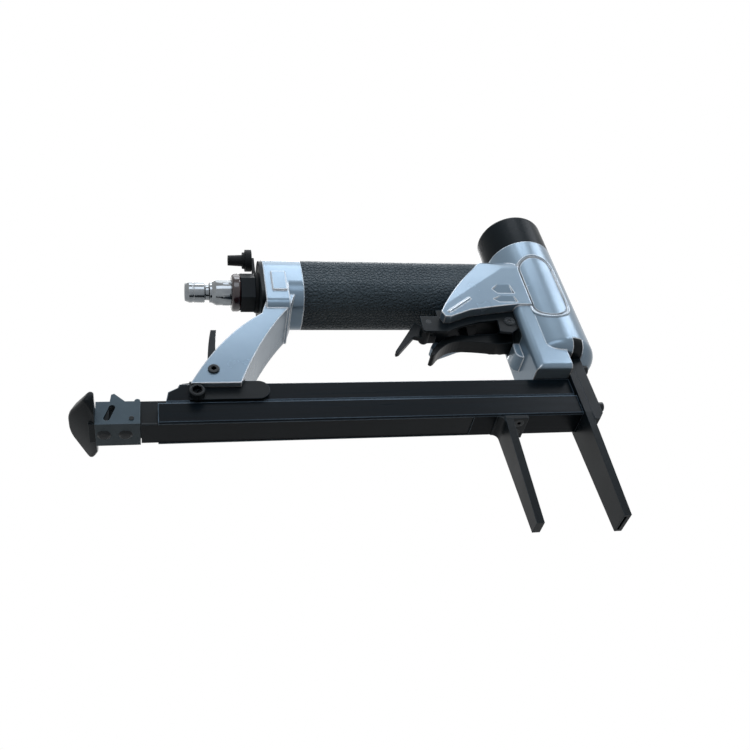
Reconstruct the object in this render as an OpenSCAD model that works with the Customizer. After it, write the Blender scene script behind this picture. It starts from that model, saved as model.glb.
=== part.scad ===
// Pneumatic upholstery stapler with a long nose, in millimetres.
// X points forward, Y to the tool's left and Z up along the driver.
// The origin is the staple outlet at the tip of the nose.

/* [Head] */
// Outer diameter of the head cylinder and of its cap
head_d = 42; // [40:0.5:46]
// Length of the head cylinder between the nose block and the cap
cyl_len = 90; // [84:0.5:98]
// Wall of the head cylinder
head_wall = 3.5; // [3.2:0.1:4]
// Thickness of the cylinder's floor
floor_t = 7.2; // [7:0.1:9]
// Rounding of the cylinder's lower edge
head_round = 6.5; // [4:0.5:8]
// Height of the nose block between the magazine and the cylinder
block_h = 12; // [10:0.5:15]
// Depth of the nose block behind the nose leg
block_len = 20.9; // [19.5:0.1:22]
// Width of the nose block
block_w = 34; // [30:0.5:36]
// Rounding of the nose block's upright edges
block_round = 4; // [2:0.5:6]
// Rounding of the nose block's lower edges
block_edge = 3; // [2:0.5:4]
// Length of the cap, at the least
cap_len = 25; // [22:0.5:32]
// Thickness of the cap's crown
cap_crown = 3.6; // [2:0.1:4]
// Rounding of the cap's rim
cap_round = 2.5; // [1:0.5:3]
// Height of the threaded spigot inside the cap
spigot_h = 8; // [5:0.5:9]
// Number of exhaust holes in the cap
vent_n = 6; // [4:1:8]
// Diameter of an exhaust hole
vent_d = 4; // [3:0.5:5]
// Height of the grooved panel on the head
panel_h = 51; // [44:1:56]
// Width of the grooved panel on the head
panel_w = 21; // [18:0.5:24]
// Width and depth of the panel's groove
panel_groove = 0.9; // [0.6:0.1:1.2]

/* [Cylinder] */
// Bore of the cylinder liner
bore_d = 28; // [26:0.5:29]
// Wall of the liner
liner_t = 2; // [1.6:0.1:2.4]
// Height of the liner's end flanges
flange_h = 3; // [2:0.5:4]
// Height of the piston
piston_h = 9; // [8.5:0.5:11]
// Height of the bumper
bumper_h = 5; // [4:0.5:8]
// Height of the head valve
head_valve_h = 4.2; // [3.6:0.1:5]
// Lift of the head valve
head_valve_lift = 3; // [2:0.5:4]
// Thickness of the driver blade
blade_t = 1.2; // [1:0.1:1.3]
// Width of the driver blade
blade_w = 11; // [10.6:0.1:11.2]

/* [Nose] */
// Length of the nose below the magazine
leg_len = 64.3; // [56:0.1:70]
// Width of the nose leg at its tip
leg_tip_w = 14.6; // [14:0.1:16]
// Width of the nose leg beside the magazine
leg_w = 20.4; // [20:0.1:22]
// Wall of the nose leg in front of the driver
leg_front_t = 1.9; // [1.5:0.1:2.5]
// Wall of the nose leg behind the driver
leg_back_t = 0.7; // [0.6:0.1:1]
// Thickness of the nose cover
cover_t = 6; // [5:0.2:7]
// Length of the nose cover below the magazine's underside
cover_drop = 5.3; // [4:0.1:8]
// Depth of the cover's seat in the head
cover_seat = 6.4; // [4:0.2:6.6]
// Diameter of a nose screw
nose_screw_d = 3; // [2.5:0.1:3.2]
// Distance between the left and right nose screws
nose_screw_gap = 15; // [14.8:0.1:15.4]

/* [Magazine] */
// Length of the magazine
mag_len = 223; // [200:1:240]
// Width of the magazine's lower band
mag_low_w = 17.1; // [16.8:0.1:18]
// Height of the magazine's lower band
mag_low_h = 12.7; // [12:0.1:14]
// Width of the magazine's upper band
mag_up_w = 14; // [13.6:0.1:14.6]
// Height of the magazine's upper band
mag_up_h = 14; // [13:0.1:16]
// Length of the closed floor behind the nose
mag_floor_len = 62; // [56:1:70]
// Thickness of that floor
mag_floor_t = 2.6; // [2:0.1:2.8]
// Height of the staple rail above the magazine's underside
rail_h = 17.5; // [17:0.1:18.5]
// Outer width of a staple's crown
staple_w = 11.2; // [10.8:0.1:11.3]
// Length of a staple's legs
staple_leg = 10; // [6:1:11]
// Thickness of the staple wire
wire_t = 0.75; // [0.6:0.05:0.9]
// Length of the stick of staples
stick_len = 88; // [60:1:100]

/* [Slide] */
// Length of the slide's block behind the magazine
slide_len = 21; // [19:0.5:24]
// Gap between the magazine and the slide's block
slide_gap = 8.4; // [7:0.2:11]
// Outer width of the slide's block
slide_w = 16.4; // [16:0.1:17]
// Height of the slide's block
slide_h = 14.3; // [13:0.1:15]
// Sheet thickness of the slide's block
slide_t = 1.2; // [1:0.1:1.5]
// Width of the pull plate across its tips
pull_w = 44; // [34:0.5:48]
// Width of the pull plate's rear edge
pull_rear = 13.6; // [10:0.2:18]
// Length of the pull plate behind the slide's block
pull_len = 14.5; // [12:0.5:18]
// Thickness of the pull plate
pull_t = 7; // [5:0.2:7.6]
// Slope of the pull plate in degrees
pull_lean = 27; // [15:1:30]

/* [Rear foot] */
// Distance of the foot's front face behind the driver
foot_x = 42.7; // [38:0.1:46]
// Thickness of the foot
foot_t = 4.1; // [3.5:0.1:5]
// Width of the foot at its tip
foot_tip_w = 8.5; // [7:0.1:11]
// Width of the foot at the magazine
foot_w = 16.5; // [15:0.1:17]
// Length of the foot's flange in front of it
flange_len = 9; // [8:0.5:12]
// Rounding behind the foot's root
foot_fillet = 4; // [2:0.5:6]
// Thickness of the foot's flange
flange_t = 2.2; // [1.8:0.1:3]

/* [Handle] */
// Width of the grip
grip_w = 34; // [33:0.5:38]
// Height of the grip
grip_h = 38; // [36:0.5:42]
// Corner radius of the grip
grip_r = 13; // [11:0.5:15]
// Wall of the grip sleeve
grip_t = 3.5; // [2.5:0.1:4]
// Height of the grip's centre above the cylinder's lower end
handle_rise = 61.5; // [60:0.5:66]
// Distance of the grip's rear end behind the driver
grip_back = 144; // [138:0.5:150]
// Length of the rear block behind the grip
rear_len = 22; // [20:0.5:25]
// Depth of the rear block below the grip's underside
rear_drop = 6.5; // [4:0.5:8]
// Rounding of the rear block's lower edges
rear_round = 5; // [3:0.5:7]
// Length of the plain band between the rear block and the grip
rear_band = 9; // [6:0.5:12]
// Width of the shoulder
shoulder_w = 36; // [35:0.2:38]
// Thickness of the end plate
end_t = 2; // [1.5:0.1:3]
// Diameter of the air passage in the handle
air_d = 15; // [12:0.5:17]

/* [Arm] */
// Width of the rear arm
arm_w = 28; // [27.4:0.2:30]
// Width of the channel in the arm
arm_slot_w = 21; // [20.9:0.1:22]
// Front wall of the arm's channel
arm_wall = 4.5; // [3.5:0.1:6]
// Length of the arm's foot along the magazine
arm_foot = 25; // [23:0.5:28]
// Distance of the arm's foot from the magazine's rear end
arm_inset = 16; // [14:0.5:20]
// Overlap of the arm's foot with the magazine's side
arm_drop = 5.8; // [4:0.1:7]
// Diameter of the arm's pin
arm_pin_d = 4; // [3.5:0.1:4.4]
// Sheet thickness of the hanger bracket
hanger_t = 1.7; // [1.4:0.1:1.8]
// Length of the hanger bracket
hanger_len = 40; // [36:0.5:44]
// Height of the hanger bracket
hanger_h = 11.8; // [11:0.1:13]
// Height of the release lever above its pin
lever_h = 38; // [32:0.5:42]
// Swing of the release lever in degrees
lever_swing = 15; // [8:1:18]

/* [Inlet] */
// Height of the inlet's axis above the grip's centre
inlet_rise = 2; // [0:0.5:4]
// Hexagon of the inlet fitting across flats
hex_af = 20; // [19:0.5:22]
// Length of the hexagon
hex_len = 8; // [6:0.5:10]
// Diameter of the collar ring
collar_d = 21.8; // [20:0.2:23]
// Length of the collar ring
collar_len = 5.2; // [4:0.2:6]
// Diameter of the air plug's nose
plug_d = 12; // [11.5:0.1:12.5]
// Length of the air plug
plug_len = 26; // [23:0.5:28]
// Diameter of the dust plug's head
dust_d = 13; // [11:0.5:14]
// Distance of the dust plug from the inlet's axis
dust_reach = 28; // [27:0.5:32]

/* [Trigger] */
// Distance of the trigger's pin behind the driver
trig_x = 26.6; // [26:0.1:28]
// Diameter of the trigger's pin
trig_pin_d = 4; // [3.5:0.1:4.5]
// Width of the trigger
trig_w = 9; // [8:0.5:12]
// Swing of the trigger in degrees
trig_swing = 6; // [4:0.5:7]
// Width of the trigger bracket
brk_w = 24; // [23.6:0.1:24.4]
// Sheet thickness of the trigger bracket
brk_t = 1.6; // [1.2:0.1:1.8]
// Distance of the valve behind the trigger's pin
valve_back = 24.6; // [23:0.2:26]
// Diameter of the valve bushing
bush_d = 14; // [13:0.5:15]
// Diameter of the valve stem
stem_d = 5; // [4:0.5:5.5]
// Distance of the safety lever's pin behind the trigger's pin
safe_back = 48.8; // [48:0.1:51]
// Diameter of the safety lever's pin
safe_pin_d = 3; // [2.5:0.1:3.5]
// Thickness of the safety lever's arm
safe_t = 3; // [2:0.2:4]

/* [Clearances] */
// Running clearance on the radius of pins, stems and pistons
run = 0.05; // [0.02:0.01:0.08]
// Small gap between parts that stay apart
gap = 0.3; // [0.2:0.05:0.4]
// Seat gap between fitted parts
seat = 0.05; // [0.02:0.01:0.1]

/* [Hidden] */
$fn = 48;
eps = 0.01;
big = 400;
z_mag = leg_len;
z_step = z_mag + mag_low_h;
z_top = z_step + mag_up_h;
z_cyl = z_top + block_h;
z_cap = z_cyl + cyl_len;
z_grip = z_cyl + handle_rise;
z_air = z_grip + inlet_rise;
chan_t = blade_t + 0.2;
chan_w = staple_w + 0.4;
x_leg_b = -chan_t / 2 - leg_back_t;
x_leg_f = chan_t / 2 + leg_front_t;
x_cover_f = x_leg_f + cover_t;
x_block = x_leg_b - block_len;
x_mag = x_leg_b - mag_len;
x_grip = -grip_back;
x_rear = x_grip - rear_len;
x_end = x_rear - end_t;
head_r = head_d / 2;
bore_r = head_r - head_wall;
liner_ri = bore_d / 2;
liner_ro = liner_ri + liner_t;
z_rail = z_mag + rail_h;
z_crown = z_rail + 0.1 + wire_t;
z_tip = z_crown + 0.65;
stroke = z_tip - 0.5;
// a cylinder that is longer than the stroke needs has a thicker floor under the same cap
above_floor = bumper_h + 0.2 + stroke + piston_h + head_valve_h + head_valve_lift + 0.5 + cap_crown;
z_floor = max(z_cyl + floor_t, z_cap + cap_len - above_floor);
z_bump = z_floor + bumper_h;
z_piston = z_bump + 0.2 + stroke;
z_liner = z_piston + piston_h;
z_hv = z_liner + head_valve_h;
z_crown_in = z_hv + head_valve_lift + 0.5;
z_end = z_crown_in + cap_crown;
spigot_r = (bore_r + head_r) / 2;
z_spigot = z_cap + spigot_h;
gasket_t = 1.4;
slot_top = z_grip - grip_h / 2 - 5.5;
x_pin = -trig_x;
z_pin = slot_top - 9;
x_valve = x_pin - valve_back;
x_safe = x_pin - safe_back;
z_safe = z_pin;
z_trig = z_pin - 3.8;
brk_in = brk_w / 2 - brk_t;
x_brk_r = x_safe - 4.2;
x_brk_f = x_pin + 8;
z_foot_arm = z_top - arm_drop;
x_foot_r = x_mag + arm_inset;
x_foot_f = x_foot_r + arm_foot;
x_apin = x_foot_r + 11.6;
z_apin = z_top + arm_pin_d / 2 + 1.2;
hanger_in = mag_low_w / 2 + seat;
hanger_out = hanger_in + hanger_t;
z_hang = z_step + 0.6;
x_slide_f = x_mag - slide_gap;
x_slide_r = x_slide_f - slide_len;
z_slide = z_mag + 0.4;
plug_x = x_end - 2 - hex_len - collar_len;
cover_bot = z_mag - cover_drop;
staple_in = staple_w / 2 - wire_t;
rail_w = 2 * (staple_in - 0.25);
cav_up = staple_w / 2 + 0.35;
cav_low = mag_low_w / 2 - 1.35;
z_cav = z_top - 2.4;
stick_x = -chan_t / 2 - 0.05;
pusher_x = stick_x - stick_len - gap;

// Points of a curve from a to c that is drawn towards b
function bow(a, b, c, n) = [for (i = [0 : n]) let (t = i / n)
  (1 - t) * (1 - t) * a + 2 * t * (1 - t) * b + t * t * c];
function mid(a, b) = (a + b) / 2;

// Rounded rectangle about its centre
module rrect(w, h, r) {
  square([w, h - 2 * r], center = true);
  square([w - 2 * r, h], center = true);
  for (sx = [-1, 1], sy = [-1, 1])
    translate([sx * (w / 2 - r), sy * (h / 2 - r)]) circle(r);
}
// Plate with its outline in X and Z, between two values of Y
module side(y0, y1) {
  translate([0, y1, 0]) rotate([90, 0, 0]) linear_extrude(y1 - y0) children();
}
// Bar with its section in Y and Z, between two values of X
module along(x0, x1) {
  translate([x0, 0, 0]) rotate([90, 0, 90]) linear_extrude(x1 - x0) children();
}
module box(a, b) {
  translate(a) cube(b - a);
}
module cyl_x(x0, x1, y, z, r) {
  translate([x0, y, z]) rotate([0, 90, 0]) cylinder(r = r, h = x1 - x0);
}
module cyl_y(x, z, y0, y1, r) {
  translate([x, y0, z]) rotate([-90, 0, 0]) cylinder(r = r, h = y1 - y0);
}
module cyl_z(x, y, z0, z1, r) {
  translate([x, y, z0]) cylinder(r = r, h = z1 - z0);
}
module both_sides() {
  children();
  mirror([0, 1, 0]) children();
}

// Helical wire of round section, standing along Z
module helix(r, wire, z0, z1, turns) {
  rings = 8 * turns;
  sides = 6;
  rise = (z1 - z0 - wire) / rings;
  pts = [for (i = [0 : rings]) for (k = [0 : sides - 1])
    let (a = 360 * i / 8, b = 360 * k / sides, q = r + wire / 2 * cos(b))
    [q * cos(a), q * sin(a), z0 + wire / 2 + rise * i + wire / 2 * sin(b)]];
  walls = [for (i = [0 : rings - 1]) for (k = [0 : sides - 1])
    let (p = i * sides + k, q = i * sides + (k + 1) % sides)
    each [[p, p + sides, q + sides], [p, q + sides, q]]];
  end0 = [for (k = [1 : sides - 2]) [0, k, k + 1]];
  last = rings * sides;
  end1 = [for (k = [1 : sides - 2]) [last, last + k + 1, last + k]];
  echo(str("coil gap ", norm(pts[8 * sides] - pts[0]) - wire, " mm"));
  polyhedron(pts, concat(walls, end0, end1));
}

shoulder_a = [x_pin - 0.5, z_grip + grip_h / 2 + 1];
shoulder_c = [x_pin - 41.8, slot_top - 6.5];
shoulder_b = mid(shoulder_a, shoulder_c) + [-4.7, 2.8];
arm_tf = [x_grip - 9, z_grip - grip_h / 2 - 4.5];
arm_tr = [x_rear - 3.1, z_grip - grip_h / 2 - 10.2];
arm_ff = [x_foot_f, z_foot_arm];
arm_fr = [x_foot_r, z_foot_arm];
arm_front = bow(arm_tf, mid(arm_tf, arm_ff) + [-2.6, 5.8], arm_ff, 12);
arm_rear = bow(arm_fr, mid(arm_fr, arm_tr) + [-3.1, 8.9], arm_tr, 12);
slot_front = [for (i = [3 : 12]) arm_front[i] + [-arm_wall, 0]];

facet_at = [x_pin - 13.4, z_grip - 6.8];
facet_dir = 37;
facet_lean = 7;
rib_at = [x_pin - 37.5, z_grip - 31.7];
rib_len = 19;

module grip_section(d) {
  translate([0, z_grip]) rrect(grip_w - 2 * d, grip_h - 2 * d, grip_r - d);
}
// Section of the rear block, which reaches below the grip
module rear_section() {
  translate([0, z_grip - (grip_h / 2 + rear_drop) / 2]) rrect(grip_w, grip_h / 2 + rear_drop, rear_round);
}
// Section of the nose block with its rounded lower edges
module block_section() {
  w = block_w / 2;
  r = block_edge;
  polygon(concat([[-w, slot_top + 4]], bow([-w, z_top + r], [-w, z_top], [-w + r, z_top], 6),
    bow([w - r, z_top], [w, z_top], [w, z_top + r], 6), [[w, slot_top + 4]]));
}
// Space above the shoulder's slanted facet on the right side
module facet_cut() {
  translate([facet_at[0], -shoulder_w / 2, facet_at[1]]) rotate([0, -facet_dir, 0])
    rotate([-facet_lean, 0, 0]) translate([-big / 2, -big / 2, 0]) cube([big, big / 2, big / 2]);
}
// Rib on the shoulder's right side, along the facet
module shoulder_rib() {
  translate([rib_at[0], -shoulder_w / 2, rib_at[1]]) rotate([0, -facet_dir, 0])
    rotate([90, 0, 90]) linear_extrude(rib_len) polygon([[0.3, -1.5], [-0.9, 0], [0.3, 1.5]]);
}
// Recess with a slanted floor on the shoulder's right side, deepest at its lower edge
module shoulder_recess(drop, h, tip) {
  translate([x_pin, -shoulder_w / 2, z_grip - drop]) rotate([14, 0, 0]) side(-6, 0)
    polygon([[-tip, -h * 0.55], [-tip * 0.35, 0], [5, 0], [6.3, -h], [-tip * 0.62, -h]]);
}
// Outline of the shoulder that runs from the head to the grip
module shoulder_outline() {
  polygon(concat(
    [[0, z_grip + grip_h / 2 + 1]],
    bow(shoulder_a, shoulder_b, shoulder_c, 10),
    [shoulder_c + [1.4, -4], shoulder_c + [5, -4.1], [x_pin - 24, slot_top - 5.2],
     [x_pin - 7, slot_top - 2.2], [x_block + 1, slot_top - 0.4], [0, slot_top - 0.4]]));
}
module panel_outline(d) {
  w = panel_w - 2 * d;
  translate([-1.5, z_cyl + cyl_len * 0.556]) {
    square([w, panel_h - panel_w], center = true);
    for (s = [-1, 1]) translate([0, s * (panel_h - panel_w) / 2]) circle(w / 2);
  }
}
// Outer skin of the head cylinder with its rounded lower edge
module head_body() {
  rotate_extrude() {
    translate([0, z_cyl]) square([head_r - head_round, cyl_len]);
    translate([0, z_cyl + head_round]) square([head_r, cyl_len - head_round]);
    translate([head_r - head_round, z_cyl + head_round]) circle(head_round);
  }
  cyl_z(0, 0, z_cap - 1, z_spigot, spigot_r);
}
module main_housing() {
  color("#9fb4c6") difference() {
    union() {
      head_body();
      // nose block under the cylinder and up to the shoulder
      intersection() {
        along(x_block, x_leg_b) block_section();
        translate([0, 0, z_top]) linear_extrude(slot_top + 4 - z_top) {
          translate([(x_block + x_leg_b) / 2, 0]) rrect(block_len, block_w, block_round);
          translate([x_block / 2, -block_w / 2]) square([x_leg_b - x_block / 2, block_w]);
        }
      }
      // shoulder
      difference() {
        intersection() {
          side(-big / 2, big / 2) shoulder_outline();
          along(-big, 1) union() {
            translate([0, z_grip]) rrect(shoulder_w, grip_h, grip_r);
            translate([0, (slot_top - 14 + z_grip) / 2]) rrect(shoulder_w, z_grip - slot_top + 14, 3);
          }
        }
        both_sides() facet_cut();
      }
      both_sides() shoulder_rib();
      // handle core and rear block
      along(x_grip - 1, -head_r / 2) grip_section(grip_t);
      along(x_rear, x_grip) grip_section(0);
      along(x_rear, x_grip - rear_band) rear_section();
      // rear arm
      side(-arm_w / 2, arm_w / 2) polygon(concat(arm_front, arm_rear,
        [[x_rear, z_grip - grip_h / 2 - 0.4], [x_rear, z_grip - grip_h / 4], [x_grip - 4, z_grip - grip_h / 4]]));
      // raised pads on the rear block
      both_sides() box([x_rear + 4, -grip_w / 2 - 0.9, z_grip - 14],
        [x_rear + 12, -grip_w / 2 + 3, z_grip + 1]);
      // lug behind the nose block
      side(-6, 6) union() {
        translate([x_block + 0.3, z_cyl + 9.8]) circle(4.6);
        polygon([[x_block - 4.3, z_cyl + 9.8], [x_block + 4.3, z_cyl + 5.2],
          [x_block + 4.3, z_cyl + 22], [x_block - 2.7, z_cyl + 22], [x_block - 4.1, z_cyl + 14]]);
      }
    }
    // cylinder bore, driver slot and cover seat
    cyl_z(0, 0, z_floor, z_spigot + 1, bore_r);
    box([-chan_t / 2 - 0.2, -chan_w / 2 - 0.1, z_cyl - 1], [chan_t / 2 + 0.2, chan_w / 2 + 0.1, z_floor + 1]);
    box([x_leg_f, -head_r - 1, z_cyl - 1], [x_cover_f + seat, head_r + 1, z_cyl + cover_seat + seat]);
    // space for the trigger and its bracket
    box([x_brk_r - 2, -brk_w / 2 - seat, z_cyl + 16], [x_brk_f + seat, brk_w / 2 + seat, slot_top + seat]);
    cyl_z(x_valve, 0, slot_top - 1, z_grip - air_d / 4, bush_d / 2 + seat);
    // air passage and inlet
    cyl_x(x_rear - 1, x_pin - 4, 0, z_air, air_d / 2);
    // arm channel and pin
    side(-arm_slot_w / 2, arm_slot_w / 2) polygon(concat(slot_front,
      [[x_foot_f - arm_wall, z_foot_arm - 5], [x_foot_r - 30, z_foot_arm - 5],
       [x_foot_r - 30, slot_front[0][1]]]));
    box([x_foot_f - 2 * arm_wall, -arm_slot_w / 2, z_foot_arm - 5], [x_foot_f + 5, arm_slot_w / 2, max(z_hang + hanger_h, z_top) + gap]);
    cyl_y(x_apin, z_apin, -big / 2, big / 2, arm_pin_d / 2);
    // nose screws
    for (s = [-1, 1])
      cyl_x(x_leg_b - 8, x_leg_b + 1, s * nose_screw_gap / 2, z_top + 5.5, nose_screw_d / 2);
    // grooved panels
    both_sides() intersection() {
      side(-head_r - 1, -5) difference() {
        panel_outline(0);
        panel_outline(panel_groove);
      }
      difference() {
        cyl_z(0, 0, z_cyl, z_cap, head_r + 2);
        cyl_z(0, 0, z_cyl - 1, z_cap + 1, head_r - panel_groove * 0.7);
      }
    }
    // two shallow recesses beside the head
    both_sides() {
      shoulder_recess(8.2, 7.3, 6.7);
      shoulder_recess(17.8, 5.2, 8.1);
    }
  }
}
module head_cap() {
  color("#17191b") difference() {
    rotate_extrude() {
      translate([0, z_cap]) square([head_r, z_end - z_cap - cap_round]);
      translate([0, z_cap]) square([head_r - cap_round, z_end - z_cap]);
      translate([head_r - cap_round, z_end - cap_round]) circle(cap_round);
    }
    cyl_z(0, 0, z_cap - 1, z_spigot + gasket_t, spigot_r + seat);
    cyl_z(0, 0, z_cap - 1, z_crown_in, bore_r);
    for (i = [0 : vent_n - 1]) rotate([0, 0, 360 * i / vent_n])
      cyl_z(bore_r * 0.62, 0, z_crown_in - 1, z_end + 1, vent_d / 2);
  }
}
module cap_gasket() {
  color("#202020") difference() {
    cyl_z(0, 0, z_spigot, z_spigot + gasket_t, spigot_r);
    cyl_z(0, 0, z_spigot - 1, z_spigot + gasket_t + 1, bore_r + 0.1);
  }
}
module cylinder_liner() {
  color("#b8bcc0") difference() {
    union() {
      cyl_z(0, 0, z_floor, z_liner, liner_ro);
      cyl_z(0, 0, z_floor, z_floor + flange_h, bore_r - seat);
      cyl_z(0, 0, z_liner - flange_h, z_liner, bore_r - seat);
    }
    cyl_z(0, 0, z_floor - 1, z_liner + 1, liner_ri);
    for (i = [0 : 7]) rotate([0, 0, 45 * i + 22.5])
      cyl_x(liner_ri - 2, liner_ro + 2, 0, z_bump + piston_h + 3, 1.2);
  }
}
module bumper() {
  color("#3a2f25") difference() {
    union() {
      cyl_z(0, 0, z_floor, z_bump - 1.5, liner_ri - gap);
      cyl_z(0, 0, z_floor, z_bump, liner_ri - 2);
    }
    box([-chan_t / 2 - 0.3, -chan_w / 2 - 0.2, z_floor - 1], [chan_t / 2 + 0.3, chan_w / 2 + 0.2, z_bump + 1]);
  }
}
module head_valve() {
  color("#4a4d50") difference() {
    cyl_z(0, 0, z_liner, z_hv, bore_r - run);
    cyl_z(0, 0, z_liner + 2, z_hv + 1, bore_r - 2.5);
  }
}
module head_valve_spring() {
  color("#8c9196") helix(bore_r * 0.45, 1.1, z_liner + 2, z_crown_in, 3);
}
module piston() {
  color("#a8acb0") difference() {
    cyl_z(0, 0, z_piston, z_liner, liner_ri - run);
    difference() {
      cyl_z(0, 0, z_piston + 4.5, z_piston + 6.7, liner_ri + 1);
      cyl_z(0, 0, z_piston + 4.4, z_piston + 6.8, liner_ri - 1.8);
    }
    box([-blade_t / 2, -blade_w / 2, z_piston - 1], [blade_t / 2, blade_w / 2, z_piston + 4]);
    cyl_x(-8, 8, 0, z_piston + 2.1, 1.2);
  }
}
module piston_ring() {
  color("#1c1c1c") difference() {
    cyl_z(0, 0, z_piston + 4.55, z_piston + 6.65, liner_ri - run / 2);
    cyl_z(0, 0, z_piston + 4, z_piston + 7, liner_ri - 1.75);
  }
}
module driver_blade() {
  color("#c4c8cc") difference() {
    box([-blade_t / 2, -blade_w / 2, z_tip], [blade_t / 2, blade_w / 2, z_piston + 4]);
    cyl_x(-2, 2, 0, z_piston + 2.1, 1.2);
  }
}
module driver_pin() {
  color("#8d9196") cyl_x(-8, 8, 0, z_piston + 2.1, 1.2);
}

module nose_leg() {
  color("#22262a") difference() {
    along(x_leg_b, x_leg_f) polygon([[-leg_tip_w / 2, 0], [leg_tip_w / 2, 0],
      [leg_w / 2, z_mag], [leg_w / 2, z_cyl], [-leg_w / 2, z_cyl], [-leg_w / 2, z_mag]]);
    box([-chan_t / 2, -chan_w / 2, -1], [chan_t / 2, chan_w / 2, z_cyl + 1]);
    box([x_leg_b - 1, -cav_up, z_mag + mag_floor_t], [0, cav_up, z_cav]);
    for (s = [-1, 1], z = [z_top + 5.5, z_mag + 5])
      cyl_x(x_leg_b - 1, x_leg_f + 1, s * nose_screw_gap / 2, z, nose_screw_d / 2);
  }
}
module nose_cover() {
  color("#2a2e33") difference() {
    side(-leg_w / 2, leg_w / 2) polygon([[x_leg_f, cover_bot],
      [x_cover_f - 3, cover_bot], [x_cover_f, cover_bot + 4],
      [x_cover_f, z_cyl + cover_seat], [x_leg_f, z_cyl + cover_seat]]);
    for (s = [-1, 1], z = [z_top + 5.5, z_mag + 5])
      cyl_x(x_leg_f - 1, x_cover_f + 1, s * nose_screw_gap / 2, z, nose_screw_d / 2);
  }
}
module socket_screw(r, len, head_r, head_h) {
  difference() {
    union() {
      cylinder(r = head_r, h = head_h);
      translate([0, 0, -len]) cylinder(r = r, h = len + eps);
    }
    translate([0, 0, head_h * 0.45]) cylinder(r = head_r * 0.55, h = head_h, $fn = 6);
  }
}
module nose_screws() {
  color("#1d2023") for (s = [-1, 1]) {
    translate([x_cover_f, s * nose_screw_gap / 2, z_top + 5.5]) rotate([0, 90, 0])
      socket_screw(nose_screw_d / 2, x_cover_f - x_leg_b + 8, 2.6, 2.6);
    translate([x_cover_f, s * nose_screw_gap / 2, z_mag + 5]) rotate([0, 90, 0])
      socket_screw(nose_screw_d / 2, x_cover_f - x_leg_b, 2.6, 2.6);
  }
}

module magazine_outline() {
  c = 0.9;
  g = mag_up_w / 2 - 0.5;
  polygon([[-mag_low_w / 2 + c, z_mag], [mag_low_w / 2 - c, z_mag], [mag_low_w / 2, z_mag + c],
    [mag_low_w / 2, z_step], [g, z_step + 0.4], [g, z_step + 2.2], [mag_up_w / 2, z_step + 2.6], [mag_up_w / 2, z_top - 0.6],
    [mag_up_w / 2 - 0.6, z_top], [-mag_up_w / 2 + 0.6, z_top], [-mag_up_w / 2, z_top - 0.6],
    [-mag_up_w / 2, z_step + 2.6], [-g, z_step + 2.2], [-g, z_step + 0.4], [-mag_low_w / 2, z_step],
    [-mag_low_w / 2, z_mag + c]]);
}
module magazine_body() {
  color("#1b2228") difference() {
    along(x_mag, x_leg_b) magazine_outline();
    box([x_mag - 1, -cav_up, z_mag + mag_floor_t], [x_leg_b + 1, cav_up, z_cav]);
    box([x_mag - 1, -cav_low, z_mag + mag_floor_t], [x_leg_b - 6, cav_low, z_step - 1.4]);
    box([x_mag - 1, -cav_low, z_mag - 1], [x_leg_b - mag_floor_len, cav_low, z_step - 1.4]);
    // cut-back rear end of the upper band
    side(-big / 2, big / 2) polygon([[x_mag - 1, z_step + 0.4], [x_mag + 3.5, z_step + 0.4],
      [x_mag + 5, z_top - 5.5], [x_mag + 10, z_top - 2.6], [x_mag + 11, z_top + 1],
      [x_mag - 1, z_top + 1]]);
    // holes for the bracket screws and the foot's screws
    both_sides() cyl_y(x_foot_r + 3, z_hang + 3.2, -mag_low_w, -cav_up + 1, 2);
    for (s = [-1, 1])
      cyl_z(-foot_x + flange_len / 2, s * 4, z_mag - 1, z_mag + mag_floor_t - 0.3, 1.5);
  }
}
module slide_rail() {
  x0 = x_slide_r + 6;
  x1 = x_leg_b - 2;
  xf = x_leg_b - mag_floor_len - gap;
  color("#2c3238") difference() {
    union() {
      box([x0, -rail_w / 2, z_slide + slide_t], [x1, rail_w / 2, z_rail]);
      box([x_slide_f + 0.4, -cav_low + gap, z_slide], [xf, cav_low - gap, z_slide + slide_t]);
    }
    box([x0 - 1, -rail_w / 2 + 1.2, z_slide + slide_t], [x1 + 1, rail_w / 2 - 1.2, z_rail - 1.2]);
    box([xf, -rail_w, z_slide - 1], [x1 + 1, rail_w, z_mag + mag_floor_t + gap]);
    cyl_y(x_slide_f - 4, z_slide + 3.4, -big / 2, big / 2, 1.2 + gap);
  }
}
module slide_wall_outline(pierced) {
  z1 = z_slide + slide_h;
  difference() {
    union() {
      translate([x_slide_r, z_slide]) square([slide_len, slide_h]);
      polygon([[x_slide_r + 6.5, z1 - 1], [x_slide_r + 7.2, z1 + 4.4], [x_slide_r + 8.6, z1 + 5],
        [x_slide_r + 13.8, z1], [x_slide_r + 13.8, z1 - 1]]);
      translate([x_slide_f - 1.4, z1]) circle(1.4);
    }
    // slanted slot
    if (pierced) translate([x_slide_r + 6.6, z_slide + slide_h / 2]) rotate(-19) {
      square([3.2, 7], center = true);
      for (s = [-1, 1]) translate([0, s * 3.5]) circle(1.6);
    }
    translate([x_slide_f - 4, z_slide + 3.4]) circle(1.2);
  }
}
module slide_block() {
  color("#46555f") difference() {
    union() {
      side(-slide_w / 2, -slide_w / 2 + slide_t) slide_wall_outline(true);
      side(slide_w / 2 - slide_t, slide_w / 2) slide_wall_outline(false);
      box([x_slide_r, -slide_w / 2, z_slide], [x_slide_f, slide_w / 2, z_slide + slide_t]);
    }
    for (x = [x_slide_r + 4, x_slide_r + 14]) cyl_z(x, 0, z_slide - 1, z_slide + slide_t + 1, 1.5);
  }
}
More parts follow.
